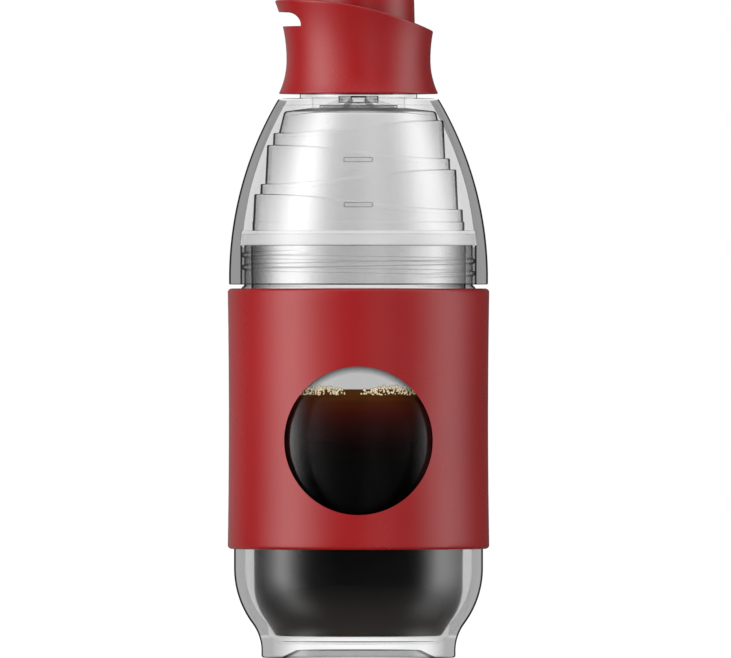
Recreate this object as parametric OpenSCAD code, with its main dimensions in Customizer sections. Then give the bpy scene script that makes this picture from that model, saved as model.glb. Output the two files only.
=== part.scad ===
// Travel coffee brewer bottle: double-walled flask, screw-on dripper dome and flip-lid cap.
// Origin at the centre of the foot, +Z up, the sleeve's window faces -Y, the low rim of the cap faces +X.

/* [Flask] */
// Outside diameter of the flask wall
body_d = 74.7; // [70:0.1:80]
// How far the foot is set in from the wall
foot_in = 8.25; // [7.5:0.05:9]
// Width of the ring that the foot stands on
foot_ring = 5.8; // [5:0.1:6.5]
// Height at which the straight wall starts to bend in
bend_z = 26.85; // [25:0.05:28.5]
// Radius of the bend above the foot
bend_r = 28; // [26:0.5:30]
// Height of the straight part of the foot
foot_h = 2; // [1.5:0.1:2.5]
// Rise of the pushed-up base
pushup_h = 2.25; // [1.5:0.05:2.6]
// Wall of the outer shell
shell_t = 3.15; // [2.8:0.05:3.4]
// Air between the two straight walls
air_gap = 1.2; // [1:0.1:1.4]
// Wall of the vessel
vessel_t = 1.6; // [1.4:0.1:1.7]
// Height of the vessel's floor inside
floor_z = 6.4; // [6.2:0.1:7]
// Radius of the vessel's bottom bend inside
vessel_bend_r = 16; // [15:0.5:16.5]
// Height of the shoulder that carries the sleeve
shoulder_z = 109.5; // [100:0.1:120]
// Thickness of the shoulder flange
shoulder_t = 2.5; // [2:0.1:3]
// How far the neck is set in from the wall
neck_in = 3.05; // [2.9:0.05:3.2]
// Wall of the neck at its rim
neck_t = 2.1; // [1.9:0.1:2.3]
// Height of the flask's neck above the shoulder
neck_h = 14.1; // [13:0.1:15]

/* [Sleeve] */
// Wall of the sleeve at its ends
sleeve_t = 1.6; // [1.4:0.05:2.2]
// How far the sleeve is drawn in at mid height
sleeve_waist = 0.35; // [0.1:0.05:0.5]
// Radius of the sleeve's outer edges
sleeve_corner = 1.2; // [0.8:0.1:1.3]
// Height of the sleeve's lower edge
sleeve_z = 32.6; // [30:0.1:40]
// Thickness of the lip that hangs on the shoulder
lip_t = 1.2; // [1:0.1:1.4]
// Diameter of the round windows
window_d = 44.4; // [36:0.1:50]
// Height of the windows' centre above the sleeve's lower edge
window_h = 32.6; // [28:0.1:36]

/* [Dripper] */
// Thickness of the seal ring on the neck
seal_t = 3.45; // [3:0.05:4]
// Wall of the dome's skirt
skirt_t = 3.45; // [3.2:0.05:3.7]
// Gap between the sleeve's top and the dome's skirt
dome_gap = 1.2; // [0.8:0.1:1.6]
// Height of the dome's widest point above its lower edge
dome_wide_h = 1.8; // [1:0.1:2.5]
// Height of the dome above the seal
dome_h = 40.65; // [37:0.05:44]
// Width of the dome's flat top around its neck
top_w = 6.37; // [6:0.01:7]
// Thickness of the dome's flat top
top_t = 2; // [1.8:0.1:2.2]
// Wall of the dome just under its top
dome_t = 1.38; // [1.2:0.02:1.6]
// Outside diameter of the dome's own neck
spout_neck_d = 35.2; // [33:0.1:37]
// Wall of the dome's own neck
spout_neck_t = 3.3; // [3:0.1:3.6]
// Height of the dome's own neck
spout_neck_h = 11.4; // [11:0.1:12]
// Number of tilted ledges on the cone
ledges = 4; // [3:1:5]
// Tilt of each ledge to either side in turn
ledge_tilt = 4.2; // [3:0.1:4.6]
// Height of the lowest tilted ledge above the seal
ledge_low_h = 9.65; // [9.4:0.05:10]
// Depth of the uppermost ledge below the dome's top
ledge_top_d = 8.5; // [8.2:0.05:9]
// Room between the uppermost ledge and the dome
ledge_room = 0.37; // [0.3:0.01:0.6]
// Room between the lowest ledge and the dome
ledge_low_room = 1.6; // [1.4:0.05:1.8]
// Wall of the stepped cone
cone_t = 1.2; // [1:0.1:1.3]
// Wall of the cone's outlet
outlet_t = 2; // [1.8:0.1:2.4]
// Width of the ledge that the spider rests on
outlet_ledge = 1.2; // [1:0.1:1.6]
// Number of spokes in the outlet
spokes = 8; // [6:1:10]

/* [Cap] */
// Wall of the cap's threaded collar
collar_t = 1.7; // [1.5:0.1:1.9]
// Wall of the cap's waist outside its collar
waist_t = 1.5; // [1.4:0.1:1.7]
// Height of the waist above the cap's lower edge
waist_h = 10.2; // [9.6:0.1:10.8]
// Gap under the cap's lower edge
cap_gap = 1.35; // [1:0.05:1.6]
// Wall of the cap's skirt
cap_t = 1.7; // [1.6:0.1:1.8]
// Radius of the hollow curve below the waist
flare_low_r = 23; // [22:0.5:26]
// Radius of the hollow curve above the waist
flare_top_r = 46; // [42:0.5:50]
// Thickness of the cap's deck
deck_t = 2.4; // [2:0.1:2.6]
// Thickness of the cap's gasket
gasket_t = 1.5; // [1.2:0.1:1.8]
// Height of the rim's highest point above the deck
rim_h = 14.25; // [14:0.05:15]
// Radius of the curve that the rim follows
rim_curve_r = 105; // [95:1:115]
// Height of the carry slot
slot_h = 4.35; // [4.2:0.05:4.4]
// Lower edge of the carry slot above the deck
slot_low_h = 6.3; // [6.1:0.05:6.4]
// Diameter of the drinking spout's bore
spout_d = 9.6; // [8:0.1:10]
// Wall of the drinking spout
spout_t = 1.7; // [1.5:0.1:1.9]
// Height of the drinking spout
spout_h = 7; // [6.6:0.1:7.4]
// Distance of the drinking spout from the axis
spout_x = 6; // [5.5:0.1:6.5]
// Width of the flange that seats the drinking spout on the deck
spout_flange_w = 0.9; // [0.7:0.05:0.95]
// Thickness of that flange
spout_flange_t = 1; // [0.8:0.1:1.2]

/* [Lid] */
// Gap between the cap's waist line and the lid's top edge
lid_in = 4.9; // [4.7:0.1:5.2]
// Growth of the lid's radius down to its foot
lid_draft = 0.4; // [0.2:0.05:0.5]
// Height of the lid above the deck
lid_h = 15.5; // [15.3:0.1:15.8]
// Wall of the lid
lid_t = 1.6; // [1.4:0.1:1.8]
// Radius of the lid's upper edge
lid_corner = 0.9; // [0.5:0.1:1.2]
// Diameter of the hinge pin
pin_d = 2; // [1.8:0.1:2.1]
// Wall around the hinge pin
knuckle_t = 0.7; // [0.6:0.05:0.8]
// Width of the lid's hinge knuckle
knuckle_w = 7.2; // [6.8:0.1:7.6]
// Width of each of the cap's hinge ears
ear_w = 2.6; // [2.4:0.1:2.8]
// Thickness of the spout pad
pad_t = 1.8; // [1.6:0.1:2.2]
// Diameter of the pad's stem
stem_d = 6; // [5:0.1:6.4]
// Length of the pad's stem
stem_h = 2.4; // [2:0.1:2.6]

/* [Fits] */
// Clearance between curved faces of neighbouring pieces
fit_gap = 0.3; // [0.25:0.01:0.35]
// Radial clearance of the hinge pin in its bores
pin_gap = 0.05; // [0.03:0.01:0.08]
// Room for the thread between a neck and its collar
thread_room = 0.8; // [0.7:0.05:0.9]

/* [Hidden] */
$fn = 96;
// Overlap of joined stretches, and overrun of a cut past the face that it leaves by
lap = 0.5;
over = 1;
// Flask: every radius follows from the flask wall, from outside in
body_r = body_d / 2;
foot_r = body_r - foot_in;
bend_h = bend_z - foot_h;
arc_sum = (bend_h * bend_h + foot_in * foot_in) / (2 * foot_in);
sweep_r = arc_sum - bend_r;
knee_x = body_r - bend_r + (arc_sum - foot_in) * bend_r / arc_sum;
knee_z = bend_z - bend_h * bend_r / arc_sum;
pushup_r = foot_r - foot_ring;
pushup_run = 4.7;
shell_in_r = body_r - shell_t;
shell_in_z = bend_z + 8;
vessel_out_r = shell_in_r - air_gap;
vessel_r = vessel_out_r - vessel_t;
vessel_z = bend_z - 6.6;
vessel_c = vessel_r - vessel_bend_r;
vessel_draft = 0.6;
bend_gap = air_gap / 3;
floor_gap = air_gap / 2;
flange_z = shoulder_z - shoulder_t;
neck_r = body_r - neck_in;
neck_bore_r = neck_r - neck_t;
rim_z = shoulder_z + neck_h;
root_r = neck_r + thread_room;
wide = 2 * body_d;
// Sleeve
sleeve_r = body_r + fit_gap + sleeve_t;
sleeve_top = shoulder_z + lip_t;
sleeve_mid = (sleeve_z + sleeve_top) / 2;
sleeve_half = (sleeve_top - sleeve_z) / 2;
window_z = sleeve_z + window_h;
root_z = sleeve_top + 0.2;
neck_z = root_z + thread_room;
// Dripper: the dome's curves run from the skirt to the flat top around its neck
skirt_r = root_r + fit_gap;
dome_r = skirt_r + skirt_t;
dome_z = sleeve_top + dome_gap;
dome_c_z = dome_z + dome_wide_h;
seal_z = rim_z + seal_t;
seat_t = 1;
dome_top = seal_z + dome_h;
ceiling_z = dome_top - top_t;
spout_neck_r = spout_neck_d / 2;
spout_bore_r = spout_neck_r - spout_neck_t;
spout_rim = dome_top + spout_neck_h;
dome_top_r = spout_neck_r + top_w;
dome_curve_r = curve_r(dome_r - dome_top_r, dome_top - dome_c_z);
ceiling_r = curve_at(dome_r, dome_curve_r, ceiling_z) - dome_t;
inner_curve_r = curve_r(skirt_r - ceiling_r, ceiling_z - dome_c_z);
// Cone: the ledges keep their room to the dome at the high side of their tilt
draft = 0.05;
ledge_top_h = dome_h - ledge_top_d;
ledge_pitch = (ledge_top_h - ledge_low_h) / (ledges - 1);
ledge_lean = dome_top_r * tan(ledge_tilt);
ledge_r = curve_at(skirt_r, inner_curve_r, seal_z + ledge_top_h + ledge_lean) - ledge_room;
ledge_low_r = curve_at(skirt_r, inner_curve_r, seal_z + ledge_low_h + ledge_lean) - ledge_low_room;
ledge_step = (ledge_low_r - ledge_r) / (ledges - 1);
cone_foot_r = ledge_low_r + 0.55;
cone_foot_h = 3.6;
cone_top = ceiling_z - 0.5;
crown_in = 1;
crown_drop = 2.5;
crown_slope = 0.25;
roof_h = 1.4;
roof_in = 3.2;
spigot_r = spout_bore_r - fit_gap;
spigot_z = cone_top - roof_h - lap;
spigot_top = dome_top + 0.4;
outlet_r = spigot_r - outlet_t;
outlet_floor = cone_top - 0.6;
bar_l = 8.8;
bar_h = 1.5;
bar_t = 0.45;
// Spider
ring_r = outlet_r - fit_gap;
ring_t = 1;
ring_h = 1.2;
hub_r = outlet_r / 2;
hub_t = 1.2;
hub_h = 2.1;
hub_z = outlet_floor + 1.8;
post_r = 1.8;
post_h = 1.5;
spoke_w = 1;
spoke_h = 1.2;
spoke_l = ring_r - hub_r + 1.3;
spoke_tilt = 18;
// Cap
collar_r = spout_neck_r + thread_room;
collar_lift = 1.2;
waist_r = collar_r + collar_t + waist_t;
cap_z = dome_top + cap_gap;
waist_z = cap_z + waist_h;
deck_z = spout_rim + gasket_t;
deck_top = deck_z + deck_t;
rim_top = deck_top + rim_h;
cap_wide_r = 2 * waist_r;
slot_z = deck_top + slot_low_h;
slot_top = slot_z + slot_h;
slot_corner = slot_h - 0.35;
vent_x = 8;
vent_r = 0.9;
pin_r = pin_d / 2;
knuckle_r = pin_r + knuckle_t;
hinge_x = 1.3 - waist_r;
hinge_z = rim_top - knuckle_r - pin_gap;
rim_x = hinge_x - 0.7;
pin_l = knuckle_w + 2 * fit_gap + 2 * ear_w - 0.4;
pin_bore_l = pin_l + 0.6;
// Lid and spout
lid_r = waist_r - lid_in;
lid_foot_r = lid_r + lid_draft;
lid_top = deck_top + lid_h;
arm_drop = 1.4;
slot_end_x = lid_foot_r + 0.2;
spout_r = spout_d / 2;
spout_out_r = spout_r + spout_t;
spout_top = deck_top + spout_h;
pad_r = spout_out_r + 0.4;
stem_r = stem_d / 2;
boss_r = stem_r + 2;
boss_z = spout_top + pad_t;

// Radius of an arc that leaves the vertical and has moved in by d at height h
function curve_r(d, h) = (h * h + d * d) / (2 * d);
// Radius from the axis, at height z, of the dome's arc that starts at radius r
function curve_at(r, arc_r, z) = r - arc_r + sqrt(arc_r * arc_r - (z - dome_c_z) * (z - dome_c_z));

// Radius of the cone's wall under ledge k (1 is the uppermost) at height h above the seal
function wall_r(k, h) = ledge_r + (k - 1) * ledge_step + draft * (ledge_h(k) - h);
// Height of ledge k at the axis, above the seal
function ledge_h(k) = ledge_top_h - (k - 1) * ledge_pitch;
// Ledges tilt to either side in turn
function tilt(k) = (k % 2 == 1 ? -1 : 1) * ledge_tilt;

// Point on the sleeve's drawn-in outside, u from -1 at the lower edge to 1 at the upper
function waist_point(u) = [sleeve_r - sleeve_waist * (1 - u * u), sleeve_mid + sleeve_half * u];

// Turn a profile (x is the radius, y the height) about Z
module spin() {
    rotate_extrude() children();
}

// Rectangle of a profile between two radii and two heights
module band(r0, r1, z0, z1) {
    translate([r0, z0]) square([r1 - r0, z1 - z0]);
}

// Profile of the flask's outside: straight wall, round bend, hollow sweep, foot
module flask_outline() {
    band(0, body_r, bend_z, flange_z);
    intersection() {
        translate([body_r - bend_r, bend_z]) circle(bend_r, $fn = 180);
        band(0, body_r, knee_z - lap, bend_z + lap);
    }
    difference() {
        band(0, knee_x, foot_h, knee_z + lap);
        translate([foot_r + sweep_r, foot_h]) circle(sweep_r, $fn = 180);
    }
    band(0, foot_r, 0, foot_h + lap);
}

// Profile of a rounded cup: straight from the bend up, round bend below, flat floor
module cup_outline(c, r, z, floor, top, top_r) {
    polygon([[0, z], [c + r, z], [top_r, top], [0, top]]);
    intersection() {
        union() {
            translate([c, z]) circle(r, $fn = 180);
            band(0, c, z - r, z + lap);
        }
        band(0, c + r, floor, z + lap);
    }
}

module flask_outer_shell() {
    color([0.86, 0.88, 0.88, 0.4])
    spin() difference() {
        flask_outline();
        cup_outline(vessel_c, vessel_bend_r + vessel_t + bend_gap, vessel_z, floor_z - vessel_t - floor_gap,
            shell_in_z, shell_in_r);
        band(0, shell_in_r, shell_in_z, flange_z + over);
        polygon([[0, 0], [pushup_r, 0], [pushup_r - pushup_run, pushup_h], [0, pushup_h]]);
    }
}

module flask_inner_vessel() {
    color([0.88, 0.9, 0.9, 0.4])
    spin() difference() {
        union() {
            cup_outline(vessel_c, vessel_bend_r + vessel_t, vessel_z, floor_z - vessel_t, flange_z,
                vessel_out_r + vessel_draft);
            band(0, body_r, flange_z, shoulder_z);
            band(0, root_r, shoulder_z, root_z);
            polygon([[0, root_z], [root_r, root_z], [neck_r, neck_z], [0, neck_z]]);
            band(0, neck_r, neck_z, rim_z);
        }
        cup_outline(vessel_c, vessel_bend_r, vessel_z, floor_z, rim_z, neck_bore_r);
    }
}

// Profile of the sleeve: drawn-in outside, rounded ends, lip over the shoulder
module sleeve_outline() {
    edge = sleeve_r - sleeve_corner;
    difference() {
        union() {
            band(body_r + fit_gap, edge, sleeve_z, sleeve_top);
            band(edge, sleeve_r, sleeve_z + sleeve_corner, sleeve_top - sleeve_corner);
            translate([edge, sleeve_z + sleeve_corner]) circle(sleeve_corner);
            translate([edge, sleeve_top - sleeve_corner]) circle(sleeve_corner);
            band(root_r + fit_gap, body_r + fit_gap + lap, shoulder_z, sleeve_top);
        }
        polygon(concat([for (i = [0 : 16]) waist_point(i / 8 - 1)],
            [[sleeve_r + over, sleeve_top], [sleeve_r + over, sleeve_z]]));
        band(0, body_r + fit_gap, 0, shoulder_z);
    }
}

module grip_sleeve() {
    color([0.70, 0.13, 0.15])
    difference() {
        spin() sleeve_outline();
        translate([0, 0, window_z]) rotate([90, 0, 0]) cylinder(r = window_d / 2, h = wide, center = true);
    }
}

module shoulder_seal() {
    color([0.86, 0.87, 0.86])
    spin() band(neck_bore_r, skirt_r - fit_gap, rim_z, seal_z);
}

// Profile of the dome's wall between its two curves
module dome_outline() {
    intersection() {
        translate([dome_r - dome_curve_r, dome_c_z]) circle(dome_curve_r, $fn = 360);
        band(0, dome_r, dome_z, dome_top);
    }
}

module dripper_shell() {
    color([0.86, 0.88, 0.88, 0.4])
    spin() difference() {
        union() {
            dome_outline();
            band(0, spout_neck_r, dome_top, spout_rim);
        }
        intersection() {
            translate([skirt_r - inner_curve_r, dome_c_z]) circle(inner_curve_r, $fn = 360);
            band(0, dome_r, seal_z + seat_t, ceiling_z);
        }
        band(0, skirt_r, dome_z - over, seal_z + seat_t);
        band(0, spout_bore_r, ceiling_z - over, spout_rim + over);
    }
}

// Everything below a plane through the axis at height z, tilted by a about Y
module below(z, a) {
    translate([0, 0, z]) rotate([0, a, 0]) translate([-body_d, -body_d, -body_d]) cube([wide, wide, body_d]);
}

// Solid stepped cone: tapered bands, each cut off by its own tilted plane; grown inward by t
module stepped_solid(t) {
    h_all = cone_top - seal_z;
    for (k = [1 : ledges])
        intersection() {
            translate([0, 0, seal_z - over])
                cylinder(r1 = wall_r(k, -over) - t, r2 = wall_r(k, h_all) - t, h = h_all + over);
            below(seal_z + ledge_h(k) - t, tilt(k));
        }
    translate([0, 0, seal_z - over]) cylinder(r = cone_foot_r - t, h = cone_foot_h + over - t);
    crown(t);
}

// Crown above the uppermost ledge: steeper cone that leans with the ledge, under a flat cone
module crown(t) {
    z0 = seal_z + ledge_h(1) - crown_drop;
    r0 = ledge_r - crown_in - t;
    up = cone_top - z0 + ledge_lean;
    intersection() {
        translate([0, 0, z0]) rotate([0, tilt(1), 0])
            cylinder(r1 = r0, r2 = r0 - up * crown_slope, h = up);
        translate([0, 0, seal_z]) cylinder(r = body_r, h = cone_top - roof_h - seal_z - t);
    }
    translate([0, 0, cone_top - roof_h - t])
        cylinder(r1 = ledge_r - roof_in - t, r2 = outlet_r + fit_gap, h = roof_h);
}

module dripper_cone() {
    color([0.86, 0.88, 0.88, 0.4])
    difference() {
        union() {
            difference() {
                stepped_solid(0);
                translate([0, 0, seal_z - 2 * over]) cylinder(r = body_r, h = 2 * over);
            }
            translate([0, 0, seal_z]) cylinder(r = skirt_r - fit_gap, h = seat_t);
            translate([0, 0, spigot_z]) cylinder(r = spigot_r, h = spigot_top - spigot_z);
            level_bar(2);
            level_bar(ledges);
        }
        stepped_solid(cone_t);
        translate([0, 0, outlet_floor]) cylinder(r = outlet_r, h = spigot_top - outlet_floor + over);
        translate([0, 0, seal_z]) cylinder(r = outlet_r - outlet_ledge, h = dome_h);
    }
}

// Raised fill mark on the front of the wall under ledge k: square at one end, round at the other
module level_bar(k) {
    h = ledge_h(k) - bar_h;
    half = bar_h / 2;
    intersection() {
        translate([0, 0, seal_z + h - bar_h]) difference() {
            cylinder(r = wall_r(k, h) + bar_t, h = 2 * bar_h);
            translate([0, 0, -over]) cylinder(r = wall_r(k, h) - cone_t / 2, h = 2 * bar_h + 2 * over);
        }
        union() {
            translate([-bar_l / 2, -body_r, seal_z + h - half]) cube([bar_l - half, body_r, bar_h]);
            translate([bar_l / 2 - half, 0, seal_z + h]) rotate([90, 0, 0]) cylinder(r = half, h = body_r);
        }
    }
}

module drip_spider() {
    root = hub_r - hub_t / 2;
    color([0.84, 0.86, 0.86, 0.5])
    union() {
        translate([0, 0, outlet_floor]) difference() {
            cylinder(r = ring_r, h = ring_h);
            translate([0, 0, -over]) cylinder(r = ring_r - ring_t, h = ring_h + 2 * over);
        }
        translate([0, 0, hub_z]) difference() {
            cylinder(r = hub_r, h = hub_h);
            translate([0, 0, -over]) cylinder(r = hub_r - hub_t, h = hub_h + 2 * over);
        }
        translate([0, 0, hub_z]) cylinder(r = post_r, h = post_h);
        for (i = [0 : 1])
            rotate([0, 0, i * 90])
                translate([-root, -spoke_w / 2, hub_z]) cube([2 * root, spoke_w, spoke_w]);
        intersection() {
            for (i = [0 : spokes - 1])
                rotate([0, 0, (i + 0.5) * 360 / spokes])
                    translate([root, -spoke_w / 2, hub_z + spoke_h / 2]) rotate([0, spoke_tilt, 0])
                        translate([0, 0, -spoke_h / 2]) cube([spoke_l, spoke_w, spoke_h]);
            translate([0, 0, outlet_floor]) difference() {
                cylinder(r = ring_r - ring_t / 2, h = 2 * hub_h + over);
                translate([0, 0, -over]) cylinder(r = root, h = 2 * hub_h + 3 * over);
            }
        }
    }
}

module cap_gasket() {
    color([0.86, 0.87, 0.86])
    spin() band(spout_bore_r, spout_neck_r, spout_rim, deck_z);
}

// Profile of the cap outside the radius where the two hollow curves lie; t is the depth below the face
module cap_outline(t) {
    difference() {
        band(0, cap_wide_r, cap_z, waist_z);
        translate([waist_r + flare_low_r, waist_z]) circle(flare_low_r + t, $fn = 180);
    }
    difference() {
        band(0, cap_wide_r, waist_z, rim_top + over);
        translate([waist_r + flare_top_r, waist_z]) circle(flare_top_r + t, $fn = 240);
    }
}

// Profile of the carry slot in the XZ plane: flat below, one large round corner above its inner end
module slot_outline() {
    x0 = -slot_end_x - slot_corner;
    difference() {
        translate([-cap_wide_r, slot_z]) square([cap_wide_r - slot_end_x, slot_h]);
        difference() {
            translate([x0, slot_top - slot_corner]) square(slot_corner + over);
            translate([x0, slot_top - slot_corner]) circle(slot_corner);
        }
    }
}

// Ear that carries one end of the hinge pin, on the bridge above the slot
module ear(y0) {
    translate([hinge_x, y0, hinge_z]) rotate([-90, 0, 0]) cylinder(r = knuckle_r, h = ear_w);
    translate([hinge_x - ear_w, y0, hinge_z - knuckle_r]) cube([ear_w, ear_w, 2 * knuckle_r]);
}

module cap_body() {
    color([0.70, 0.13, 0.15])
    difference() {
        union() {
            intersection() {
                spin() difference() {
                    cap_outline(0);
                    difference() {
                        cap_outline(cap_t);
                        band(0, cap_wide_r, deck_z, deck_top);
                        band(collar_r, collar_r + collar_t, cap_z + collar_lift, deck_z);
                    }
                    band(0, collar_r, 0, deck_z);
                }
                translate([rim_x, 0, rim_top - rim_curve_r]) rotate([90, 0, 0])
                    cylinder(r = rim_curve_r, h = wide, center = true, $fn = 360);
            }
            for (s = [-1, 1])
                ear(s * (knuckle_w / 2 + fit_gap + ear_w / 2) - ear_w / 2);
        }
        translate([0, wide / 2, 0]) rotate([90, 0, 0]) linear_extrude(wide) slot_outline();
        translate([spout_x, 0, deck_z - over]) cylinder(r = spout_out_r + pin_gap, h = deck_t + 2 * over);
        translate([-vent_x, 0, deck_z - over]) cylinder(r = vent_r, h = deck_t + 2 * over);
        translate([hinge_x, 0, hinge_z]) rotate([90, 0, 0])
            cylinder(r = pin_r + pin_gap, h = pin_bore_l, center = true);
    }
}

// Tube pressed through the deck from above, down to the flange that rests on it
module drinking_spout() {
    color([0.70, 0.13, 0.15])
    translate([spout_x, 0, 0]) spin() {
        band(spout_r, spout_out_r, deck_z, spout_top);
        band(spout_r, spout_out_r + spout_flange_w, deck_top, deck_top + spout_flange_t);
    }
}

// Profile of the lid's outside: drafted wall and a rounded upper edge
module lid_outline() {
    rise = lid_h - lid_corner;
    polygon([[0, deck_top], [lid_foot_r, deck_top], [lid_r, deck_top + rise], [0, deck_top + rise]]);
    translate([lid_r - lid_corner, deck_top + rise]) circle(lid_corner);
    band(0, lid_r - lid_corner, deck_top + rise - lap, lid_top);
}

module flip_lid() {
    arm_z = hinge_z - arm_drop;
    color([0.70, 0.13, 0.15])
    difference() {
        union() {
            difference() {
                spin() lid_outline();
                translate([0, 0, deck_top - over])
                    cylinder(r1 = lid_foot_r - lid_t, r2 = lid_r - lid_t, h = lid_h - lid_t + over);
            }
            translate([spout_x, 0, boss_z]) cylinder(r = boss_r, h = lid_top - lid_t - boss_z + lap);
            translate([hinge_x, 0, hinge_z]) rotate([90, 0, 0])
                cylinder(r = knuckle_r, h = knuckle_w, center = true);
            translate([hinge_x, -knuckle_w / 2, arm_z])
                cube([-hinge_x - lid_r + over, knuckle_w, hinge_z + knuckle_r - arm_z]);
        }
        translate([spout_x, 0, boss_z - over])
            cylinder(r = stem_r + pin_gap, h = stem_h + over + 4 * pin_gap);
        translate([hinge_x, 0, hinge_z]) rotate([90, 0, 0])
            cylinder(r = pin_r + pin_gap, h = knuckle_w + 2 * over, center = true);
    }
}

module lid_hinge_pin() {
    color([0.75, 0.76, 0.78])
    translate([hinge_x, 0, hinge_z]) rotate([90, 0, 0])
        cylinder(r = pin_r, h = pin_l, center = true);
}

module spout_pad() {
    color([0.86, 0.87, 0.86])
    translate([spout_x, 0, spout_top]) union() {
        cylinder(r = pad_r, h = pad_t);
        cylinder(r = stem_r, h = pad_t + stem_h);
    }
}

flask_outer_shell();
flask_inner_vessel();
grip_sleeve();
shoulder_seal();
dripper_shell();
dripper_cone();
drip_spider();
cap_gasket();
cap_body();
drinking_spout();
flip_lid();
lid_hinge_pin();
spout_pad();
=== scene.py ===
"""Looks of a travel coffee brewer bottle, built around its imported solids.

The bottle stands on its foot at the origin, +Z up, with the window towards -Y. Sizes are in millimetres
and become metres when a mesh is written.
"""
import functools
import logging
import math
from dataclasses import dataclass, field
from enum import Enum
from typing import Mapping, Optional, Sequence, Union

import bpy
import numpy as np
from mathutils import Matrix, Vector


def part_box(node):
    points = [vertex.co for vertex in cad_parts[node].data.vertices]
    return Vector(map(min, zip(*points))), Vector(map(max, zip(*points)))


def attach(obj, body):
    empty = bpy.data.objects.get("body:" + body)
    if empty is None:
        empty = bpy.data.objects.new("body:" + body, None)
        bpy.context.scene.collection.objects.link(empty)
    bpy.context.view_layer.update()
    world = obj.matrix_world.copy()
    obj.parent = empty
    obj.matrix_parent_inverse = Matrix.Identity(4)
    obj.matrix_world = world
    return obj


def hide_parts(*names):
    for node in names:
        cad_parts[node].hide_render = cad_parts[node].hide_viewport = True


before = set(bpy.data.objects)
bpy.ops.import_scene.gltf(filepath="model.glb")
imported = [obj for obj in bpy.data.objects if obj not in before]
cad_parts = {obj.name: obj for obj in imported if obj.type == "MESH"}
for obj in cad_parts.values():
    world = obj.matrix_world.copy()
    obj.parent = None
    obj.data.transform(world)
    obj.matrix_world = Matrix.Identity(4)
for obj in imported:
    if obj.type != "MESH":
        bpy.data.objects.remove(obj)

LOG = logging.getLogger("brewer")
MM = 0.001
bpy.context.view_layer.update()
ROUND_STEPS = 6  # steps in a rounded corner
CORNER_SHARE = 0.49  # share of a side that a rounded corner may take
FLASK_NECK_R = 34.3  # radius of the flask's neck between the turns of its thread
COFFEE_Z = 80.4  # height of the coffee's surface


class Body(Enum):
    """Rigid bodies that the pieces ride on."""

    FLASK = "flask"
    SEAL = "seal"
    DRIPPER = "dripper"
    GASKET = "gasket"
    CAP = "cap"
    LID = "lid"


class Slot(Enum):
    """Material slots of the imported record."""

    CLEAR_OUTER = "clear_outer"
    CLEAR_INNER = "clear_inner"
    RED = "red_satin"
    SILICONE = "silicone"
    STEEL = "pin_steel"


# Geometry helpers


Marks = Optional[Mapping[str, np.ndarray]]
Row = tuple[float, float, float]


@functools.lru_cache(maxsize=None)
def span(node: str) -> tuple[float, float, float]:
    """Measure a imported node.

    Args:
        node: name of the node.

    Returns:
        Its largest half width along X, its lowest and its highest Z, in millimetres.
    """
    low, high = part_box(node)
    return max(-low[0], high[0]) / MM, low[2] / MM, high[2] / MM


def arc_heights(centre: tuple[float, float], radius: float, z0: float, z1: float, count: int,
                side: float = 1.0) -> np.ndarray:
    """Sample a round stretch of a profile at even heights.

    The radius from the axis is the centre's own plus or minus the root of R squared less the height
    above the centre squared.

    Args:
        centre: radius and height of the arc's centre.
        radius: radius of the arc.
        z0: first height.
        z1: last height.
        count: number of points.
        side: +1 for a bulging arc, -1 for a hollow one.

    Returns:
        Array of (radius, height) rows.
    """
    z = np.linspace(z0, z1, count)
    reach = np.sqrt(np.maximum(radius ** 2 - (z - centre[1]) ** 2, 0.0))
    return np.column_stack([centre[0] + side * reach, z])


def around(steps: int) -> np.ndarray:
    """Return the even angles of one turn about the axis, in radians."""
    return np.linspace(0, 2 * math.pi, steps, endpoint=False)


def rounded(points: Sequence[Row], closed: bool = True, segments: int = ROUND_STEPS) -> np.ndarray:
    """Round the corners of a profile.

    Each row is radius, height and corner radius. A corner with a radius becomes an arc that touches both
    of its sides.

    Args:
        points: rows of (radius, height, corner radius).
        closed: whether the last point joins the first.
        segments: steps in each arc.

    Returns:
        Array of (radius, height) rows.
    """
    rows = np.asarray(points, dtype=float)
    out: list[np.ndarray] = []
    for i, (r, z, corner) in enumerate(rows):
        here = np.array([r, z])
        at_end = not closed and i in (0, len(rows) - 1)
        if corner <= 0 or at_end:
            out.append(here[None])
            continue
        to_last = rows[i - 1, :2] - here
        to_next = rows[(i + 1) % len(rows), :2] - here
        room = CORNER_SHARE * min(np.linalg.norm(to_last), np.linalg.norm(to_next))
        u, v = to_last / np.linalg.norm(to_last), to_next / np.linalg.norm(to_next)
        half = math.acos(float(np.clip(u @ v, -0.9999, 0.9999))) / 2
        tangent = min(corner / math.tan(half), room)
        size = tangent * math.tan(half)
        centre = here + (u + v) / np.linalg.norm(u + v) * size / math.sin(half)
        a0 = math.atan2(*(here + u * tangent - centre)[::-1])
        a1 = math.atan2(*(here + v * tangent - centre)[::-1])
        turn = (a1 - a0 + math.pi) % (2 * math.pi) - math.pi
        a = a0 + turn * np.linspace(0, 1, segments + 1)
        out.append(centre + size * np.column_stack([np.cos(a), np.sin(a)]))
    return np.concatenate(out)


def grid_faces(rows: int, cols: int, wrap_rows: bool, wrap_cols: bool) -> np.ndarray:
    """Join a grid of points into quads.

    Args:
        rows: points along the first direction.
        cols: points along the second.
        wrap_rows: whether the last row joins the first.
        wrap_cols: whether the last column joins the first.

    Returns:
        Array of four point numbers per face.
    """
    i = np.arange(rows if wrap_rows else rows - 1)[:, None]
    j = np.arange(cols if wrap_cols else cols - 1)[None, :]
    a, b = i * cols + j, ((i + 1) % rows) * cols + j
    c, d = ((i + 1) % rows) * cols + (j + 1) % cols, i * cols + (j + 1) % cols
    return np.stack(np.broadcast_arrays(a, b, c, d), axis=-1).reshape(-1, 4)


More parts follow.
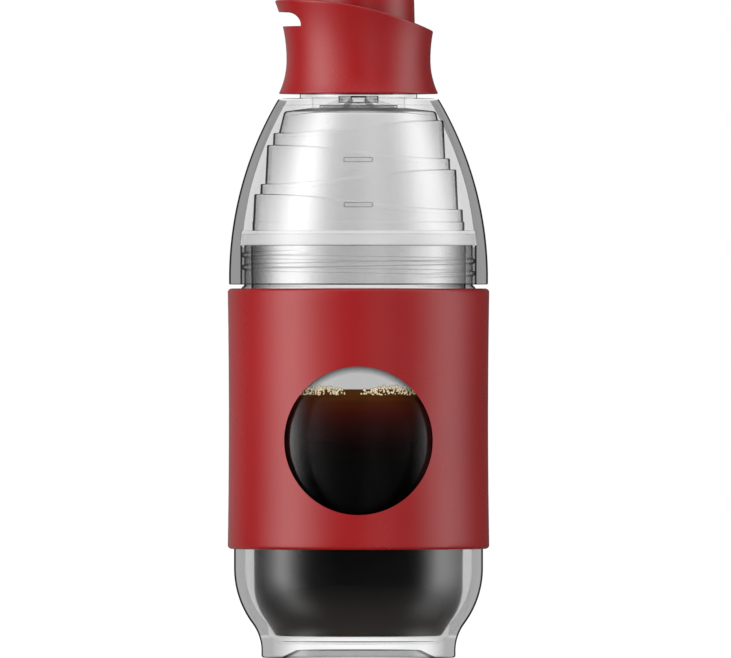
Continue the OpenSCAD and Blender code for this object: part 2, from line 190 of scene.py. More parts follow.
def closed_volume(points: np.ndarray, faces: np.ndarray) -> float:
    """Measure the volume inside a closed mesh of quads, as a sum of tetrahedra with the origin.

    Args:
        points: array of points.
        faces: array of four point numbers per face.

    Returns:
        The volume, below zero where the faces look inwards.
    """
    p = points[faces]
    first = np.einsum("ij,ij->i", p[:, 0], np.cross(p[:, 1], p[:, 2]))
    second = np.einsum("ij,ij->i", p[:, 0], np.cross(p[:, 2], p[:, 3]))
    return float((first + second).sum() / 6)


def place_mesh(name: str, points: np.ndarray, faces: Sequence[Sequence[int]],
               crease: Optional[float] = None) -> bpy.types.Object:
    """Write a mesh from points in millimetres and put its object into the scene.

    Args:
        name: name of the piece.
        points: array of points in millimetres.
        faces: point numbers of each face.
        crease: angle in degrees above which an edge stays sharp, or none for flat faces.

    Returns:
        The new object, at the origin.
    """
    mesh = bpy.data.meshes.new(name)
    mesh.from_pydata((points * MM).tolist(), [], faces)
    if crease is not None:
        mesh.polygons.foreach_set("use_smooth", np.ones(len(mesh.polygons), dtype=bool))
        mesh.set_sharp_from_angle(angle=math.radians(crease))
    mesh.validate()
    piece = bpy.data.objects.new(name, mesh)
    bpy.context.scene.collection.objects.link(piece)
    return piece


def make_piece(name: str, points: np.ndarray, faces: np.ndarray, crease: float = 40.0,
               marks: Marks = None) -> bpy.types.Object:
    """Make a piece from points in millimetres, with closed poles and faces that look outwards.

    Args:
        name: name of the piece.
        points: array of points in millimetres.
        faces: array of four point numbers per face.
        crease: angle in degrees above which an edge stays sharp.
        marks: point attributes by name, one value per point.

    Returns:
        The new object, at the origin.
    """
    keys, first, merged = np.unique(np.round(points, 5), axis=0, return_index=True, return_inverse=True)
    faces = merged.reshape(-1)[faces]
    if closed_volume(keys, faces) < 0:
        faces = faces[:, ::-1]
    clean = [tuple(dict.fromkeys(face)) for face in faces.tolist()]
    piece = place_mesh(name, keys, [face for face in clean if len(face) > 2], crease)
    for label, values in (marks or {}).items():
        layer = piece.data.attributes.new(label, "FLOAT", "POINT")
        layer.data.foreach_set("value", np.asarray(values, dtype=np.float32)[first])
    return piece


@dataclass(frozen=True)
class Thread:
    """A round ridge that climbs a neck along a helix and fades out at both ends."""

    root_r: float
    height: float
    width: float
    lead: float
    z0: float
    turns: float
    start: float

    def lift(self, angle: np.ndarray, z: np.ndarray) -> np.ndarray:
        """Return how far the neck's wall stands out.

        The ridge's centre at angle a of turn n is at z0 + lead (n + a / 2 pi). Its section has a flat crest
        of a third of its width between flanks of a squared sine, times a fade that rises over the first and
        last eighth of a turn.

        Args:
            angle: angles about the axis in radians.
            z: heights in millimetres.

        Returns:
            Heights of the ridge, zero off it.
        """
        part = np.mod(angle - math.radians(self.start), 2 * math.pi) / (2 * math.pi)
        turn = np.round((z - self.z0) / self.lead - part)
        along = turn + part
        off = z - self.z0 - self.lead * along
        fade = np.clip(np.minimum(along, self.turns - along) * 8, 0, 1)
        fade = np.sin(fade * math.pi / 2)
        flank = np.clip((self.width / 2 - np.abs(off)) / (self.width / 3), 0, 1)
        return self.height * fade * np.sin(flank * math.pi / 2) ** 2


def turned(name: str, rings: Sequence[np.ndarray], closed: bool, marks: Marks = None, crease: float = 30.0,
           shift_x: float = 0.0) -> bpy.types.Object:
    """Join profiles that change with the angle.

    A point of the surface is (r cos a, r sin a, z) for each of the even angles a and each point (r, z) of
    its own profile.

    Args:
        name: name of the piece.
        rings: one profile of (radius, height) rows for each of the even angles.
        closed: whether each profile is a ring; otherwise it starts and ends on the axis.
        marks: attributes by name, one value per profile point.
        crease: angle in degrees above which an edge stays sharp.
        shift_x: distance of the turning axis from the bottle's own.

    Returns:
        The new object.
    """
    grid = np.asarray(rings)
    a = around(len(grid))[:, None]
    points = np.stack([shift_x + grid[..., 0] * np.cos(a), grid[..., 0] * np.sin(a), grid[..., 1]], axis=-1)
    faces = grid_faces(*grid.shape[:2], True, closed)
    spread = {label: np.tile(values, len(grid)) for label, values in (marks or {}).items()}
    return make_piece(name, points.reshape(-1, 3), faces, crease, spread)


def lathe(name: str, profile: np.ndarray, closed: bool = True, steps: int = 192, marks: Marks = None,
          thread: Optional[Thread] = None, shift_x: float = 0.0) -> bpy.types.Object:
    """Turn one profile about the bottle's axis, where a thread adds its height to the radius on its own wall.

    Args:
        name: name of the piece.
        profile: rows of (radius, height) in millimetres.
        closed: whether the profile is a ring; otherwise it starts and ends on the axis.
        steps: number of angles.
        marks: attributes by name, one value per profile point.
        thread: ridge to raise on the wall of its root radius.
        shift_x: distance of the turning axis from the bottle's own.

    Returns:
        The new object.
    """
    a = around(steps)[:, None]
    r, z = np.broadcast_arrays(profile[None, :, 0] + 0 * a, profile[None, :, 1])
    if thread is not None:
        on_wall = np.abs(r - thread.root_r) < 0.01
        r = r + np.where(on_wall, thread.lift(a, z), 0.0)
    return turned(name, np.stack([r, z], axis=-1), closed, marks, 40.0, shift_x)


def band_start(profile: np.ndarray, inner: np.ndarray) -> np.ndarray:
    """Find where a level line of sight through a turned wall stops meeting its inner face.

    A line that just touches the inner radius meets the outer face at the root of 1 less the radii's ratio
    squared, times the upright share of the face's normal; the facing value is 1 less that.

    Args:
        profile: rows of (radius, height) of the outer face.
        inner: inner radius at each row; at least the outer one where there is none.

    Returns:
        One facing value per row, 1 where there is no band.
    """
    step = np.gradient(profile, axis=0)
    upright = np.abs(step[:, 1]) / np.maximum(np.hypot(step[:, 0], step[:, 1]), 1e-9)
    ratio = np.clip(inner / np.maximum(profile[:, 0], 1e-9), 0, 1)
    return 1 - upright * np.sqrt(1 - ratio ** 2)


def prism(name: str, outline: np.ndarray, y0: float, y1: float) -> bpy.types.Object:
    """Draw an outline of (x, z) rows out along Y, with flat ends.

    Args:
        name: name of the piece.
        outline: corners in millimetres, anticlockwise seen from the front.
        y0: first end.
        y1: second end.

    Returns:
        The new object.
    """
    count = len(outline)
    ends = [np.column_stack([outline[:, 0], np.full(count, y), outline[:, 1]]) for y in (y0, y1)]
    sides = grid_faces(2, count, False, True)[:, ::-1].tolist()
    caps = [range(2 * count - 1, count - 1, -1), range(count)]
    return place_mesh(name, np.concatenate(ends), sides + [list(cap) for cap in caps])


def drill(piece: bpy.types.Object, *cutters: bpy.types.Object, crease: float = 35.0) -> None:
    """Take cutters out of a piece and throw them away.

    Args:
        piece: the piece, which gets a new mesh.
        cutters: closed meshes to take out.
        crease: angle in degrees above which an edge stays sharp.
    """
    for cutter in cutters:
        step = piece.modifiers.new(cutter.name, "BOOLEAN")
        step.operation, step.object, step.solver = "DIFFERENCE", cutter, "EXACT"
    view = bpy.context.evaluated_depsgraph_get()
    mesh = bpy.data.meshes.new_from_object(piece.evaluated_get(view))
    piece.modifiers.clear()
    piece.data = mesh
    mesh.set_sharp_from_angle(angle=math.radians(crease))
    for cutter in cutters:
        bpy.data.objects.remove(cutter)


def smooth_copy(node: str, name: str, crease: float = 32.0) -> bpy.types.Object:
    """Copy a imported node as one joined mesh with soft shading.

    Args:
        node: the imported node.
        name: name of the copy.
        crease: angle in degrees above which an edge stays sharp.

    Returns:
        The copy, which stands for the node.
    """
    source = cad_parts[node].data
    points = np.empty(len(source.vertices) * 3)
    source.vertices.foreach_get("co", points)
    corners = np.empty(len(source.loops), dtype=np.int64)
    source.loops.foreach_get("vertex_index", corners)
    keys, merged = np.unique(np.round(points.reshape(-1, 3) / MM, 4), axis=0, return_inverse=True)
    faces = merged.reshape(-1)[corners].reshape(-1, 3)
    solid = (faces[:, 0] != faces[:, 1]) & (faces[:, 1] != faces[:, 2]) & (faces[:, 2] != faces[:, 0])
    return place_mesh(name, keys, faces[solid].tolist(), crease)


def settle(piece: bpy.types.Object, body: Body, slot: Slot, material: bpy.types.Material,
           *nodes: str) -> None:
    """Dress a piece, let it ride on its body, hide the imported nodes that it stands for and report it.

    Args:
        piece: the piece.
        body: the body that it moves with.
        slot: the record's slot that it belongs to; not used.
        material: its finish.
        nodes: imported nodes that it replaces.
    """
    piece.data.materials.clear()
    piece.data.materials.append(material)
    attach(piece, body.value)
    if nodes:
        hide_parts(*nodes)
    LOG.info("%s: %d faces, rides on %s", piece.name, len(piece.data.polygons), body.value)


# Finishes


Pair = tuple[float, float]
Colour = tuple[float, float, float, float]
Stops = Sequence[tuple[float, Colour]]
Value = Union[float, Sequence[float], bpy.types.NodeSocket]


def linear(red: int, green: int, blue: int) -> Colour:
    """Turn a screen colour into scene values.

    Args:
        red: 0 to 255.
        green: 0 to 255.
        blue: 0 to 255.

    Returns:
        Red, green, blue and alpha for a shader socket.
    """
    parts = [c / 255 for c in (red, green, blue)]
    scene = [c / 12.92 if c <= 0.04045 else ((c + 0.055) / 1.055) ** 2.4 for c in parts]
    return (*scene, 1.0)


def grey(value: float) -> Colour:
    """Return a neutral scene colour of that value."""
    return (value, value, value, 1.0)


def greys(rows: Sequence[Pair]) -> Stops:
    """Turn rows of (position, value) into a ramp's stops of neutral colours."""
    return [(place, grey(value)) for place, value in rows]


class Wiring:
    """Short ways to place and join the nodes of one tree."""

    def __init__(self, tree: bpy.types.NodeTree) -> None:
        """Take the tree.

        Args:
            tree: the node tree to add to.
        """
        self.tree = tree

    def feed(self, socket: bpy.types.NodeSocket, value: Value) -> None:
        """Link a socket to another one, or set its plain value.

        Args:
            socket: the input.
            value: an output to link, or a plain value.
        """
        if isinstance(value, bpy.types.NodeSocket):
            self.tree.links.new(value, socket)
        else:
            socket.default_value = value

    def add(self, kind: str, **inputs: Value) -> bpy.types.Node:
        """Place a node.

        Args:
            kind: node type without its prefix.
            inputs: values by socket name, with underscores for spaces.

        Returns:
            The node.
        """
        node = self.tree.nodes.new("ShaderNode" + kind)
        for label, value in inputs.items():
            self.feed(node.inputs[label.replace("_", " ")], value)
        return node

    def math(self, operation: str, *values: Value) -> bpy.types.NodeSocket:
        """Place a sum, product or other operation and return its result.

        Args:
            operation: name of the operation.
            values: its inputs in order.

        Returns:
            The output.
        """
        node = self.add("Math")
        node.operation = operation
        for socket, value in zip(node.inputs, values):
            self.feed(socket, value)
        return node.outputs["Value"]

    def remap(self, value: Value, low: float, high: float, to_low: Value = 0.0,
              to_high: Value = 1.0) -> bpy.types.NodeSocket:
        """Bring a value from one range to another along a smooth step.

        Args:
            value: the value.
            low: start of its range.
            high: end of its range.
            to_low: result at the start.
            to_high: result at the end.

        Returns:
            The output.
        """
        node = self.add("MapRange", Value=value, From_Min=low, From_Max=high, To_Min=to_low, To_Max=to_high)
        node.interpolation_type = "SMOOTHSTEP"
        return node.outputs["Result"]

    def share(self, length: Value, low: float, high: float) -> bpy.types.NodeSocket:
        """Find how far a length lies between two others, along a straight line from 0 to 1.

        Args:
            length: the length in metres.
            low: start of its range in millimetres.
            high: end of its range in millimetres.

        Returns:
            The output.
        """
        return self.add("MapRange", Value=length, From_Min=low * MM, From_Max=high * MM).outputs["Result"]

    def ramp(self, value: Value, stops: Stops) -> bpy.types.NodeSocket:
        """Turn a value into a colour.

        Args:
            value: the value.
            stops: rows of (position, colour).

        Returns:
            The colour output.
        """
        node = self.add("ValToRGB", Fac=value)
        while len(node.color_ramp.elements) < len(stops):
            node.color_ramp.elements.new(0.5)
        for element, (place, colour) in zip(node.color_ramp.elements, stops):
            element.position, element.color = place, colour
        return node.outputs["Color"]

    def blend(self, share: Value, first: Value, second: Value) -> bpy.types.NodeSocket:
        """Mix two colours.

        Args:
            share: 0 for the first, 1 for the second.
            first: first colour.
            second: second colour.

        Returns:
            The colour output.
        """
        node = self.add("Mix")
        node.data_type = "RGBA"
        for socket, value in zip((node.inputs[0], node.inputs[6], node.inputs[7]), (share, first, second)):
            self.feed(socket, value)
        return node.outputs[2]

    def noise(self, scale: Value, detail: float = 2.0,
              place: Optional[bpy.types.NodeSocket] = None) -> bpy.types.NodeSocket:
        """Return a noise over the object's own coordinates.

        Args:
            scale: cells to a metre.
            detail: number of finer layers.
            place: other coordinates to use.

        Returns:
            The noise value.
        """
        place = place or self.add("TexCoord").outputs["Object"]
        return self.add("TexNoise", Vector=place, Scale=scale, Detail=detail).outputs["Fac"]

    def places(self) -> bpy.types.NodeOutputs:
        """Return the object's own coordinates X, Y and Z in metres, Z being the height above the ground."""
        return self.add("SeparateXYZ", Vector=self.add("TexCoord").outputs["Object"]).outputs

    def facing(self) -> bpy.types.NodeSocket:
        """Return 0 where a face looks at the viewer, up to 1 where it is seen edge-on."""
        return self.add("LayerWeight", Blend=0.5).outputs["Facing"]

    def attribute(self, label: str) -> bpy.types.NodeSocket:
        """Read a point attribute.

        Args:
            label: name of the attribute.

        Returns:
            Its value.
        """
        node = self.add("Attribute")
        node.attribute_name = label
        return node.outputs["Fac"]

    def seen_straight(self) -> bpy.types.NodeSocket:
        """Tell the rays that look at a thing straight from the rest.

        Returns:
            1 for rays from the camera or through clear walls that no gloss has reflected, else 0.
        """
        path = self.add("LightPath").outputs
        through = self.math("GREATER_THAN", path["Is Transmission Ray"], path["Glossy Depth"])
        return self.math("MAXIMUM", path["Is Camera Ray"], through)


def speckle_group() -> bpy.types.NodeTree:
    """Build the shared group that varies a value over a moulded surface.

    Returns:
        A group with the inputs Low, High and Scale, and the outputs Value (between Low and High) and
        Height (fine grain for a bump).
    """
    name = "moulded_speckle"
    if name in bpy.data.node_groups:
        return bpy.data.node_groups[name]
    group = bpy.data.node_groups.new(name, "ShaderNodeTree")
    for label, default in (("Low", 0.3), ("High", 0.4), ("Scale", 400.0)):
        socket = group.interface.new_socket(label, in_out="INPUT", socket_type="NodeSocketFloat")
        socket.default_value = default
    for label in ("Value", "Height"):
        group.interface.new_socket(label, in_out="OUTPUT", socket_type="NodeSocketFloat")
    entry, leave = group.nodes.new("NodeGroupInput"), group.nodes.new("NodeGroupOutput")
    wires = Wiring(group)
    clouds = wires.noise(scale=38.0, detail=4.0)
    value = wires.remap(clouds, 0.3, 0.7, entry.outputs["Low"], entry.outputs["High"])
    wires.feed(leave.inputs["Value"], value)
    wires.feed(leave.inputs["Height"], wires.noise(entry.outputs["Scale"]))
    return group


@dataclass
class Material:
    """A material with its shader and speckle already placed.

    Its roughness lies between low and high, and its grain has so many cells to a metre.
    """

    name: str
    low: float
    high: float
    grain_scale: float
    data: bpy.types.Material = field(init=False)
    wires: Wiring = field(init=False)
    shader: bpy.types.Node = field(init=False)
    output: bpy.types.Node = field(init=False)
    grain: bpy.types.NodeSocket = field(init=False)

    def __post_init__(self) -> None:
        """Make the material, its shader and its speckle group."""
        self.data = bpy.data.materials.new(self.name)
        self.data.use_nodes = True
        self.wires = Wiring(self.data.node_tree)
        self.shader = self.data.node_tree.nodes["Principled BSDF"]
        self.output = self.data.node_tree.nodes["Material Output"]
        speckle = self.data.node_tree.nodes.new("ShaderNodeGroup")
        speckle.node_tree = speckle_group()
        for label, value in (("Low", self.low), ("High", self.high), ("Scale", self.grain_scale)):
            speckle.inputs[label].default_value = value
        self.grain = speckle.outputs["Height"]
        self.put(Roughness=speckle.outputs["Value"])

    def put(self, **values: Value) -> None:
        """Set or link shader sockets, with underscores for spaces in their names."""
        for label, value in values.items():
            self.wires.feed(self.shader.inputs[label.replace("_", " ")], value)

    def bump(self, strength: float, distance: float) -> None:
        """Feed the fine grain to the shader's normal.

        Args:
            strength: share of the bump that shows.
            distance: depth of the grain in metres.
        """
        node = self.wires.add("Bump", Strength=strength, Distance=distance, Height=self.grain)
        self.put(Normal=node.outputs["Normal"])


@dataclass(frozen=True)
class ClearPlastic:
    """Clear polished plastic: dark outlines, grey walls where they are seen end-on, and soft gloss.

    The point attribute "outside" is 1 on faces with tints, outlines and gloss, a half on faces without gloss,
    less where the tints fade as well, and 0 on plain faces. "band" holds the facing value above which a line
    of sight stays inside the wall, or -1 along an edge that is drawn as a dark line.
    """

    name: str
    face: Sequence[Pair]
    gloss: Pair = (0.01, 0.03)
    grain: float = 300.0
    band: float = 0.33
    band_near: float = 0.0
    band_turn: Pair = (0.57, 0.6)
    band_soft: float = 0.008
    inner: float = 0.97
    drawn_from: Pair = (0.0, 0.4)
    outline: float = 0.015
    outline_from: Pair = (0.81, 0.85)
    line_mark: Pair = (-1.0, -0.4)
    coat: float = 1.0
    coat_from: Pair = (0.6, 0.9)
    coat_fade: Pair = (0.4, 0.75)
    coat_full: float = 0.0
    coat_curve: float = 2.5
    coat_roughness: float = 0.16
    coat_ior: float = 2.2
    ior: float = 1.001
    soak: Colour = (0.80, 0.84, 0.84, 1.0)
    density: float = 3.0
    clear_below: float = 0.0
    clear_rise: float = 1.5
    foot_face: Sequence[Pair] = ((0.0, 0.95), (0.29, 0.78), (0.45, 0.6), (0.55, 0.45), (0.7, 0.42))
    shade: float = 0.02
    shade_z: float = 0.0
    shade_r: Pair = (19.9, 22.4)
    shade_end: Pair = (23.0, 23.5)

    def build(self) -> bpy.types.Material:
        """Make the material.

        Returns:
            A see-through material with a facing tint, gloss and faint absorption.
        """
        made = Material(self.name, *self.gloss, self.grain)
        wires = made.wires
        made.put(Transmission_Weight=1.0, IOR=self.ior, Coat_Roughness=self.coat_roughness,
                 Coat_IOR=self.coat_ior)
        facing, outside, band = wires.facing(), wires.attribute("outside"), wires.attribute("band")
        tint = wires.ramp(facing, greys(self.face))
        if self.clear_below:
            rise = wires.share(wires.places()["Z"], self.clear_below, self.clear_below + self.clear_rise)
            tint = wires.blend(rise, wires.ramp(facing, greys(self.foot_face)), tint)
        in_wall = wires.remap(wires.math("SUBTRACT", facing, band), -self.band_soft, self.band_soft)
        wall = grey(self.band)
        if self.band_near:
            wall = wires.blend(wires.remap(facing, *self.band_turn), grey(self.band_near), wall)
        tint = wires.blend(in_wall, tint, wall)
        line = wires.math("MAXIMUM", wires.remap(facing, *self.outline_from),
                          wires.remap(band, *self.line_mark, 1.0, 0.0))
        tint = wires.blend(line, tint, grey(self.outline))
        if self.shade_z:
            tint = wires.blend(self.window_shade(wires), tint, grey(self.shade))
        drawn = wires.remap(outside, *self.drawn_from)
        made.put(Base_Color=wires.blend(drawn, grey(self.inner), tint))
        gloss = wires.math("MULTIPLY", wires.remap(outside, *self.coat_from),
                           wires.remap(facing, *self.coat_fade, self.coat, 0.0))
        if self.coat_full:
            part = wires.remap(facing, 0.0, self.coat_full)
            gloss = wires.math("MULTIPLY", gloss, wires.math("POWER", part, self.coat_curve))
        front = wires.math("SUBTRACT", 1.0, wires.add("NewGeometry").outputs["Backfacing"])
        made.put(Coat_Weight=wires.math("MULTIPLY", gloss, front))
        soak = wires.add("VolumeAbsorption", Color=self.soak, Density=self.density)
        wires.feed(made.output.inputs["Volume"], soak.outputs["Volume"])
        return made.data

    def window_shade(self, wires: Wiring) -> bpy.types.NodeSocket:
        """Measure the shade that a window's edge throws on the wall behind it.

        Args:
            wires: wiring of the material.

        Returns:
            A share that grows with the distance from the windows' axis and ends under the sleeve.
        """
        place = wires.places()
        rise = wires.math("SUBTRACT", place["Z"], self.shade_z * MM)
        across = wires.math("MULTIPLY", place["X"], place["X"])
        away = wires.math("SQRT", wires.math("MULTIPLY_ADD", rise, rise, across))
        near, far = self.shade_end
        return wires.math("MULTIPLY", wires.share(away, *self.shade_r),
                          wires.remap(away, near * MM, far * MM, 1.0, 0.0))


@dataclass(frozen=True)
class ClearRod:
    """Thin clear rods, which show as a clear middle between dark edges.

    Where the point attribute "band" is 0 an edge is drawn as a dark line.
    """

    name: str
    gloss: Pair = (0.05, 0.12)
    grain: float = 300.0
    middle: float = 0.05
    edge: float = 0.9
    edge_from: Pair = (0.42, 0.55)
    line_from: Pair = (0.2, 0.8)
    cloud: float = 400.0
    tones: Sequence[Pair] = ((0.3, 0.03), (0.7, 0.06))

    def build(self) -> bpy.types.Material:
        """Make the material.

        Returns:
            A see-through material that covers more towards its outline.
        """
        made = Material(self.name, *self.gloss, self.grain)
        wires = made.wires
        line = wires.remap(wires.attribute("band"), *self.line_from, self.edge, self.middle)
        outline = wires.remap(wires.facing(), *self.edge_from, self.middle, self.edge)
        made.put(Base_Color=wires.ramp(wires.noise(self.cloud), greys(self.tones)),
                 Alpha=wires.math("MAXIMUM", line, outline))
        return made.data


@dataclass(frozen=True)
class SatinRed:
    """Red moulded plastic with a fine satin grain."""

    name: str = "satin_red_plastic"
    gloss: Pair = (0.22, 0.28)
    grain: float = 1800.0
    grain_bump: Pair = (0.06, 0.00005)
    drift: float = 22.0
    tones: Stops = ((0.35, linear(160, 18, 22)), (0.65, linear(168, 22, 26)))
    specular: float = 0.75

    def build(self) -> bpy.types.Material:
        """Make the material.

        Returns:
            A satin material whose red drifts a little over the surface.
        """
        made = Material(self.name, *self.gloss, self.grain)
        made.bump(*self.grain_bump)
        colour = made.wires.ramp(made.wires.noise(self.drift), self.tones)
        made.put(Specular_IOR_Level=self.specular, Base_Color=colour)
        return made.data


@dataclass(frozen=True)
class Silicone:
    """Milky silicone that lets a little light through."""

    name: str = "milky_silicone"
    gloss: Pair = (0.38, 0.52)
    grain: float = 900.0
    grain_bump: Pair = (0.05, 0.00004)
    cloud: float = 60.0
    tones: Stops = ((0.3, linear(244, 244, 243)), (0.7, linear(250, 250, 249)))
    milk: float = 0.25
    milk_depth: float = 0.002

    def build(self) -> bpy.types.Material:
        """Make the material.

        Returns:
            A soft pale material with cloudy colour.
        """
        made = Material(self.name, *self.gloss, self.grain)
        made.bump(*self.grain_bump)
        colour = made.wires.ramp(made.wires.noise(self.cloud), self.tones)
        made.put(Subsurface_Weight=self.milk, Subsurface_Radius=(self.milk_depth,) * 3, Base_Color=colour)
        return made.data


@dataclass(frozen=True)
class PinSteel:
    """Drawn stainless steel with fine lines along the pin."""

    name: str = "drawn_pin_steel"
    gloss: Pair = (0.22, 0.34)
    grain: float = 2500.0
    lines: tuple[float, float, float] = (4000.0, 60.0, 4000.0)
    tones: Stops = ((0.3, linear(150, 152, 156)), (0.7, linear(190, 192, 195)))

    def build(self) -> bpy.types.Material:
        """Make the material.

        Returns:
            A metal with drawn lines along Y.
        """
        made = Material(self.name, *self.gloss, self.grain)
        wires = made.wires
        drawn = wires.add("Mapping", Vector=wires.add("TexCoord").outputs["Object"], Scale=self.lines)
        lines = wires.noise(1.0, place=drawn.outputs["Vector"])
        made.put(Metallic=1.0, Base_Color=wires.ramp(lines, self.tones))
        return made.data


@dataclass(frozen=True)
class BrewedCoffee:
    """Black coffee with painted light: red-brown just under its surface, greyer towards the bottom from the
    lit floor, and a painted glow.
    """

    name: str = "brewed_coffee"
    gloss: Pair = (0.08, 0.16)
    grain: float = 200.0
    surface_z: float = COFFEE_Z
    fade: float = 22.0
    stir: Pair = (90.0, 0.08)
    # painted light: the tones run from black at depth to red-brown just under the surface
    tones: Stops = ((0.08, linear(7, 6, 6)), (0.32, linear(24, 10, 9)), (0.55, linear(46, 17, 14)),
                    (0.73, linear(70, 21, 13)), (0.88, linear(86, 36, 13)), (1.0, linear(104, 65, 25)))
    # painted light from the lit floor: heights over which the coffee greys, and that grey
    floor_lit: Pair = (8.0, 23.0)
    floor_tone: Colour = linear(56, 52, 49)
    # strength of a painted glow: the coffee's colour is also emitted
    glow: float = 0.2
    specular: float = 0.2

    def build(self) -> bpy.types.Material:
        """Make the material.

        Returns:
            A dark gloss material graded by depth, with painted light near surface and floor and a painted
            glow.
        """
        made = Material(self.name, *self.gloss, self.grain)
        wires = made.wires
        height = wires.places()["Z"]
        rise = wires.share(height, self.surface_z - self.fade, self.surface_z)
        scale, depth = self.stir
        # painted light: lighter red-brown towards the surface
        colour = wires.ramp(wires.math("MULTIPLY_ADD", wires.noise(scale), depth, rise), self.tones)
        # painted light: greyer near the bottom, above the lit floor
        colour = wires.blend(wires.share(height, *self.floor_lit), self.floor_tone, colour)
        # painted glow: the colour is emitted as well as reflected
        made.put(Base_Color=colour, Emission_Color=colour, Emission_Strength=self.glow,
                 Specular_IOR_Level=self.specular)
        return made.data


@dataclass(frozen=True)
class GoldenFoam:
    """Bubbles of coffee foam: a pale painted highlight in the middle, golden brown round the edge, and a
    painted glow.
    """

    name: str = "golden_foam"
    gloss: Pair = (0.12, 0.25)
    grain: float = 700.0
    cloud: Pair = (700.0, 0.3)
    # painted highlight: the palest tone is where a bubble faces the viewer
    tones: Stops = ((0.08, linear(252, 247, 226)), (0.3, linear(228, 206, 150)),
                    (0.5, linear(166, 124, 52)), (0.75, linear(66, 38, 8)))
    # strength of a painted glow: the foam's colour is also emitted
    glow: float = 0.55

    def build(self) -> bpy.types.Material:
        """Make the material.

        Returns:
            A glossy material with a painted highlight that darkens towards each bubble's outline, and a
            painted glow.
        """
        made = Material(self.name, *self.gloss, self.grain)
        wires = made.wires
        scale, depth = self.cloud
        middle = wires.math("SUBTRACT", wires.facing(), depth / 2)
        colour = wires.ramp(wires.math("MULTIPLY_ADD", wires.noise(scale), depth, middle), self.tones)
        # painted glow: the colour is emitted as well as reflected
        made.put(Base_Color=colour, Emission_Color=colour, Emission_Strength=self.glow)
        return made.data


@dataclass
class Finishes:
    """Every finish of the bottle, built once."""

    flask: bpy.types.Material = field(default_factory=ClearPlastic(
        "clear_flask_wall", ((0.0, 0.5), (0.2, 0.56), (0.5, 0.66), (0.8, 0.7)), band=0.38, band_near=0.56,
        inner=1.0, coat_full=0.25, shade_z=65.2, clear_below=5.5).build)
    vessel: bpy.types.Material = field(default_factory=ClearPlastic(
        "clear_vessel_wall", ((0.05, 0.82), (0.14, 0.94), (0.3, 0.96), (0.42, 0.72), (0.55, 0.48),
                              (0.7, 0.3), (0.82, 0.2)), inner=1.0).build)
    dome: bpy.types.Material = field(default_factory=ClearPlastic(
        "clear_dome_wall", ((0.0, 0.88), (0.3, 0.86), (0.5, 0.77), (0.8, 0.75)), band=0.31).build)
    cone: bpy.types.Material = field(default_factory=ClearPlastic(
        "clear_cone_wall", ((0.05, 0.78), (0.11, 0.86), (0.19, 0.94), (0.3, 0.97), (0.45, 0.97), (0.62, 0.8),
                            (0.8, 0.45)), band=0.12, outline_from=(0.77, 0.82)).build)
    hub: bpy.types.Material = field(default_factory=ClearPlastic(
        "clear_outlet_hub", ((0.0, 1.0), (0.05, 0.97), (0.1, 0.6), (0.3, 0.55), (0.5, 0.5)), band=0.08,
        outline=0.03, outline_from=(0.6, 0.72), coat=0.0).build)
    # painted shade: the clear outlet ring is tinted nearly black face-on, for the dark band under the cone's
    # roof
    ring: bpy.types.Material = field(default_factory=ClearPlastic(
        "clear_outlet_ring", ((0.0, 0.17), (0.12, 0.24), (0.3, 0.5), (0.6, 0.7)), band=0.12,
        outline_from=(0.77, 0.82), coat=0.0).build)
    post: bpy.types.Material = field(default_factory=ClearRod("clear_outlet_post").build)
    spokes: bpy.types.Material = field(default_factory=ClearRod("clear_outlet_spokes", edge=0.3).build)
    red: bpy.types.Material = field(default_factory=SatinRed().build)
    silicone: bpy.types.Material = field(default_factory=Silicone().build)
    steel: bpy.types.Material = field(default_factory=PinSteel().build)
    coffee: bpy.types.Material = field(default_factory=BrewedCoffee().build)
    foam: bpy.types.Material = field(default_factory=GoldenFoam().build)


# The bottle


@dataclass(frozen=True)
class CupFoot:
    """Inside of the cup below its straight wall: a round bend, a straight slope and a small round corner."""

    wall_r: float
    floor_z: float
    bend_z: float = 21.5
    bend_r: float = 17.0
    slope_z: float = 12.5
    slope: float = 0.65
    corner_r: float = 1.2

    def profile(self) -> np.ndarray:
        """Draw the foot from the axis out along the floor and up to the straight wall.

        Returns:
            Array of (radius, height) rows.
        """
        centre = (self.wall_r - self.bend_r, self.bend_z)
        bend = arc_heights(centre, self.bend_r, self.slope_z, self.bend_z, 24)
        foot_r = bend[0, 0] - self.slope * (self.slope_z - self.floor_z)
        corner = rounded([(0, self.floor_z, 0), (foot_r, self.floor_z, self.corner_r), (*bend[0], 0)], False)
        return np.concatenate([corner, bend[1:]])


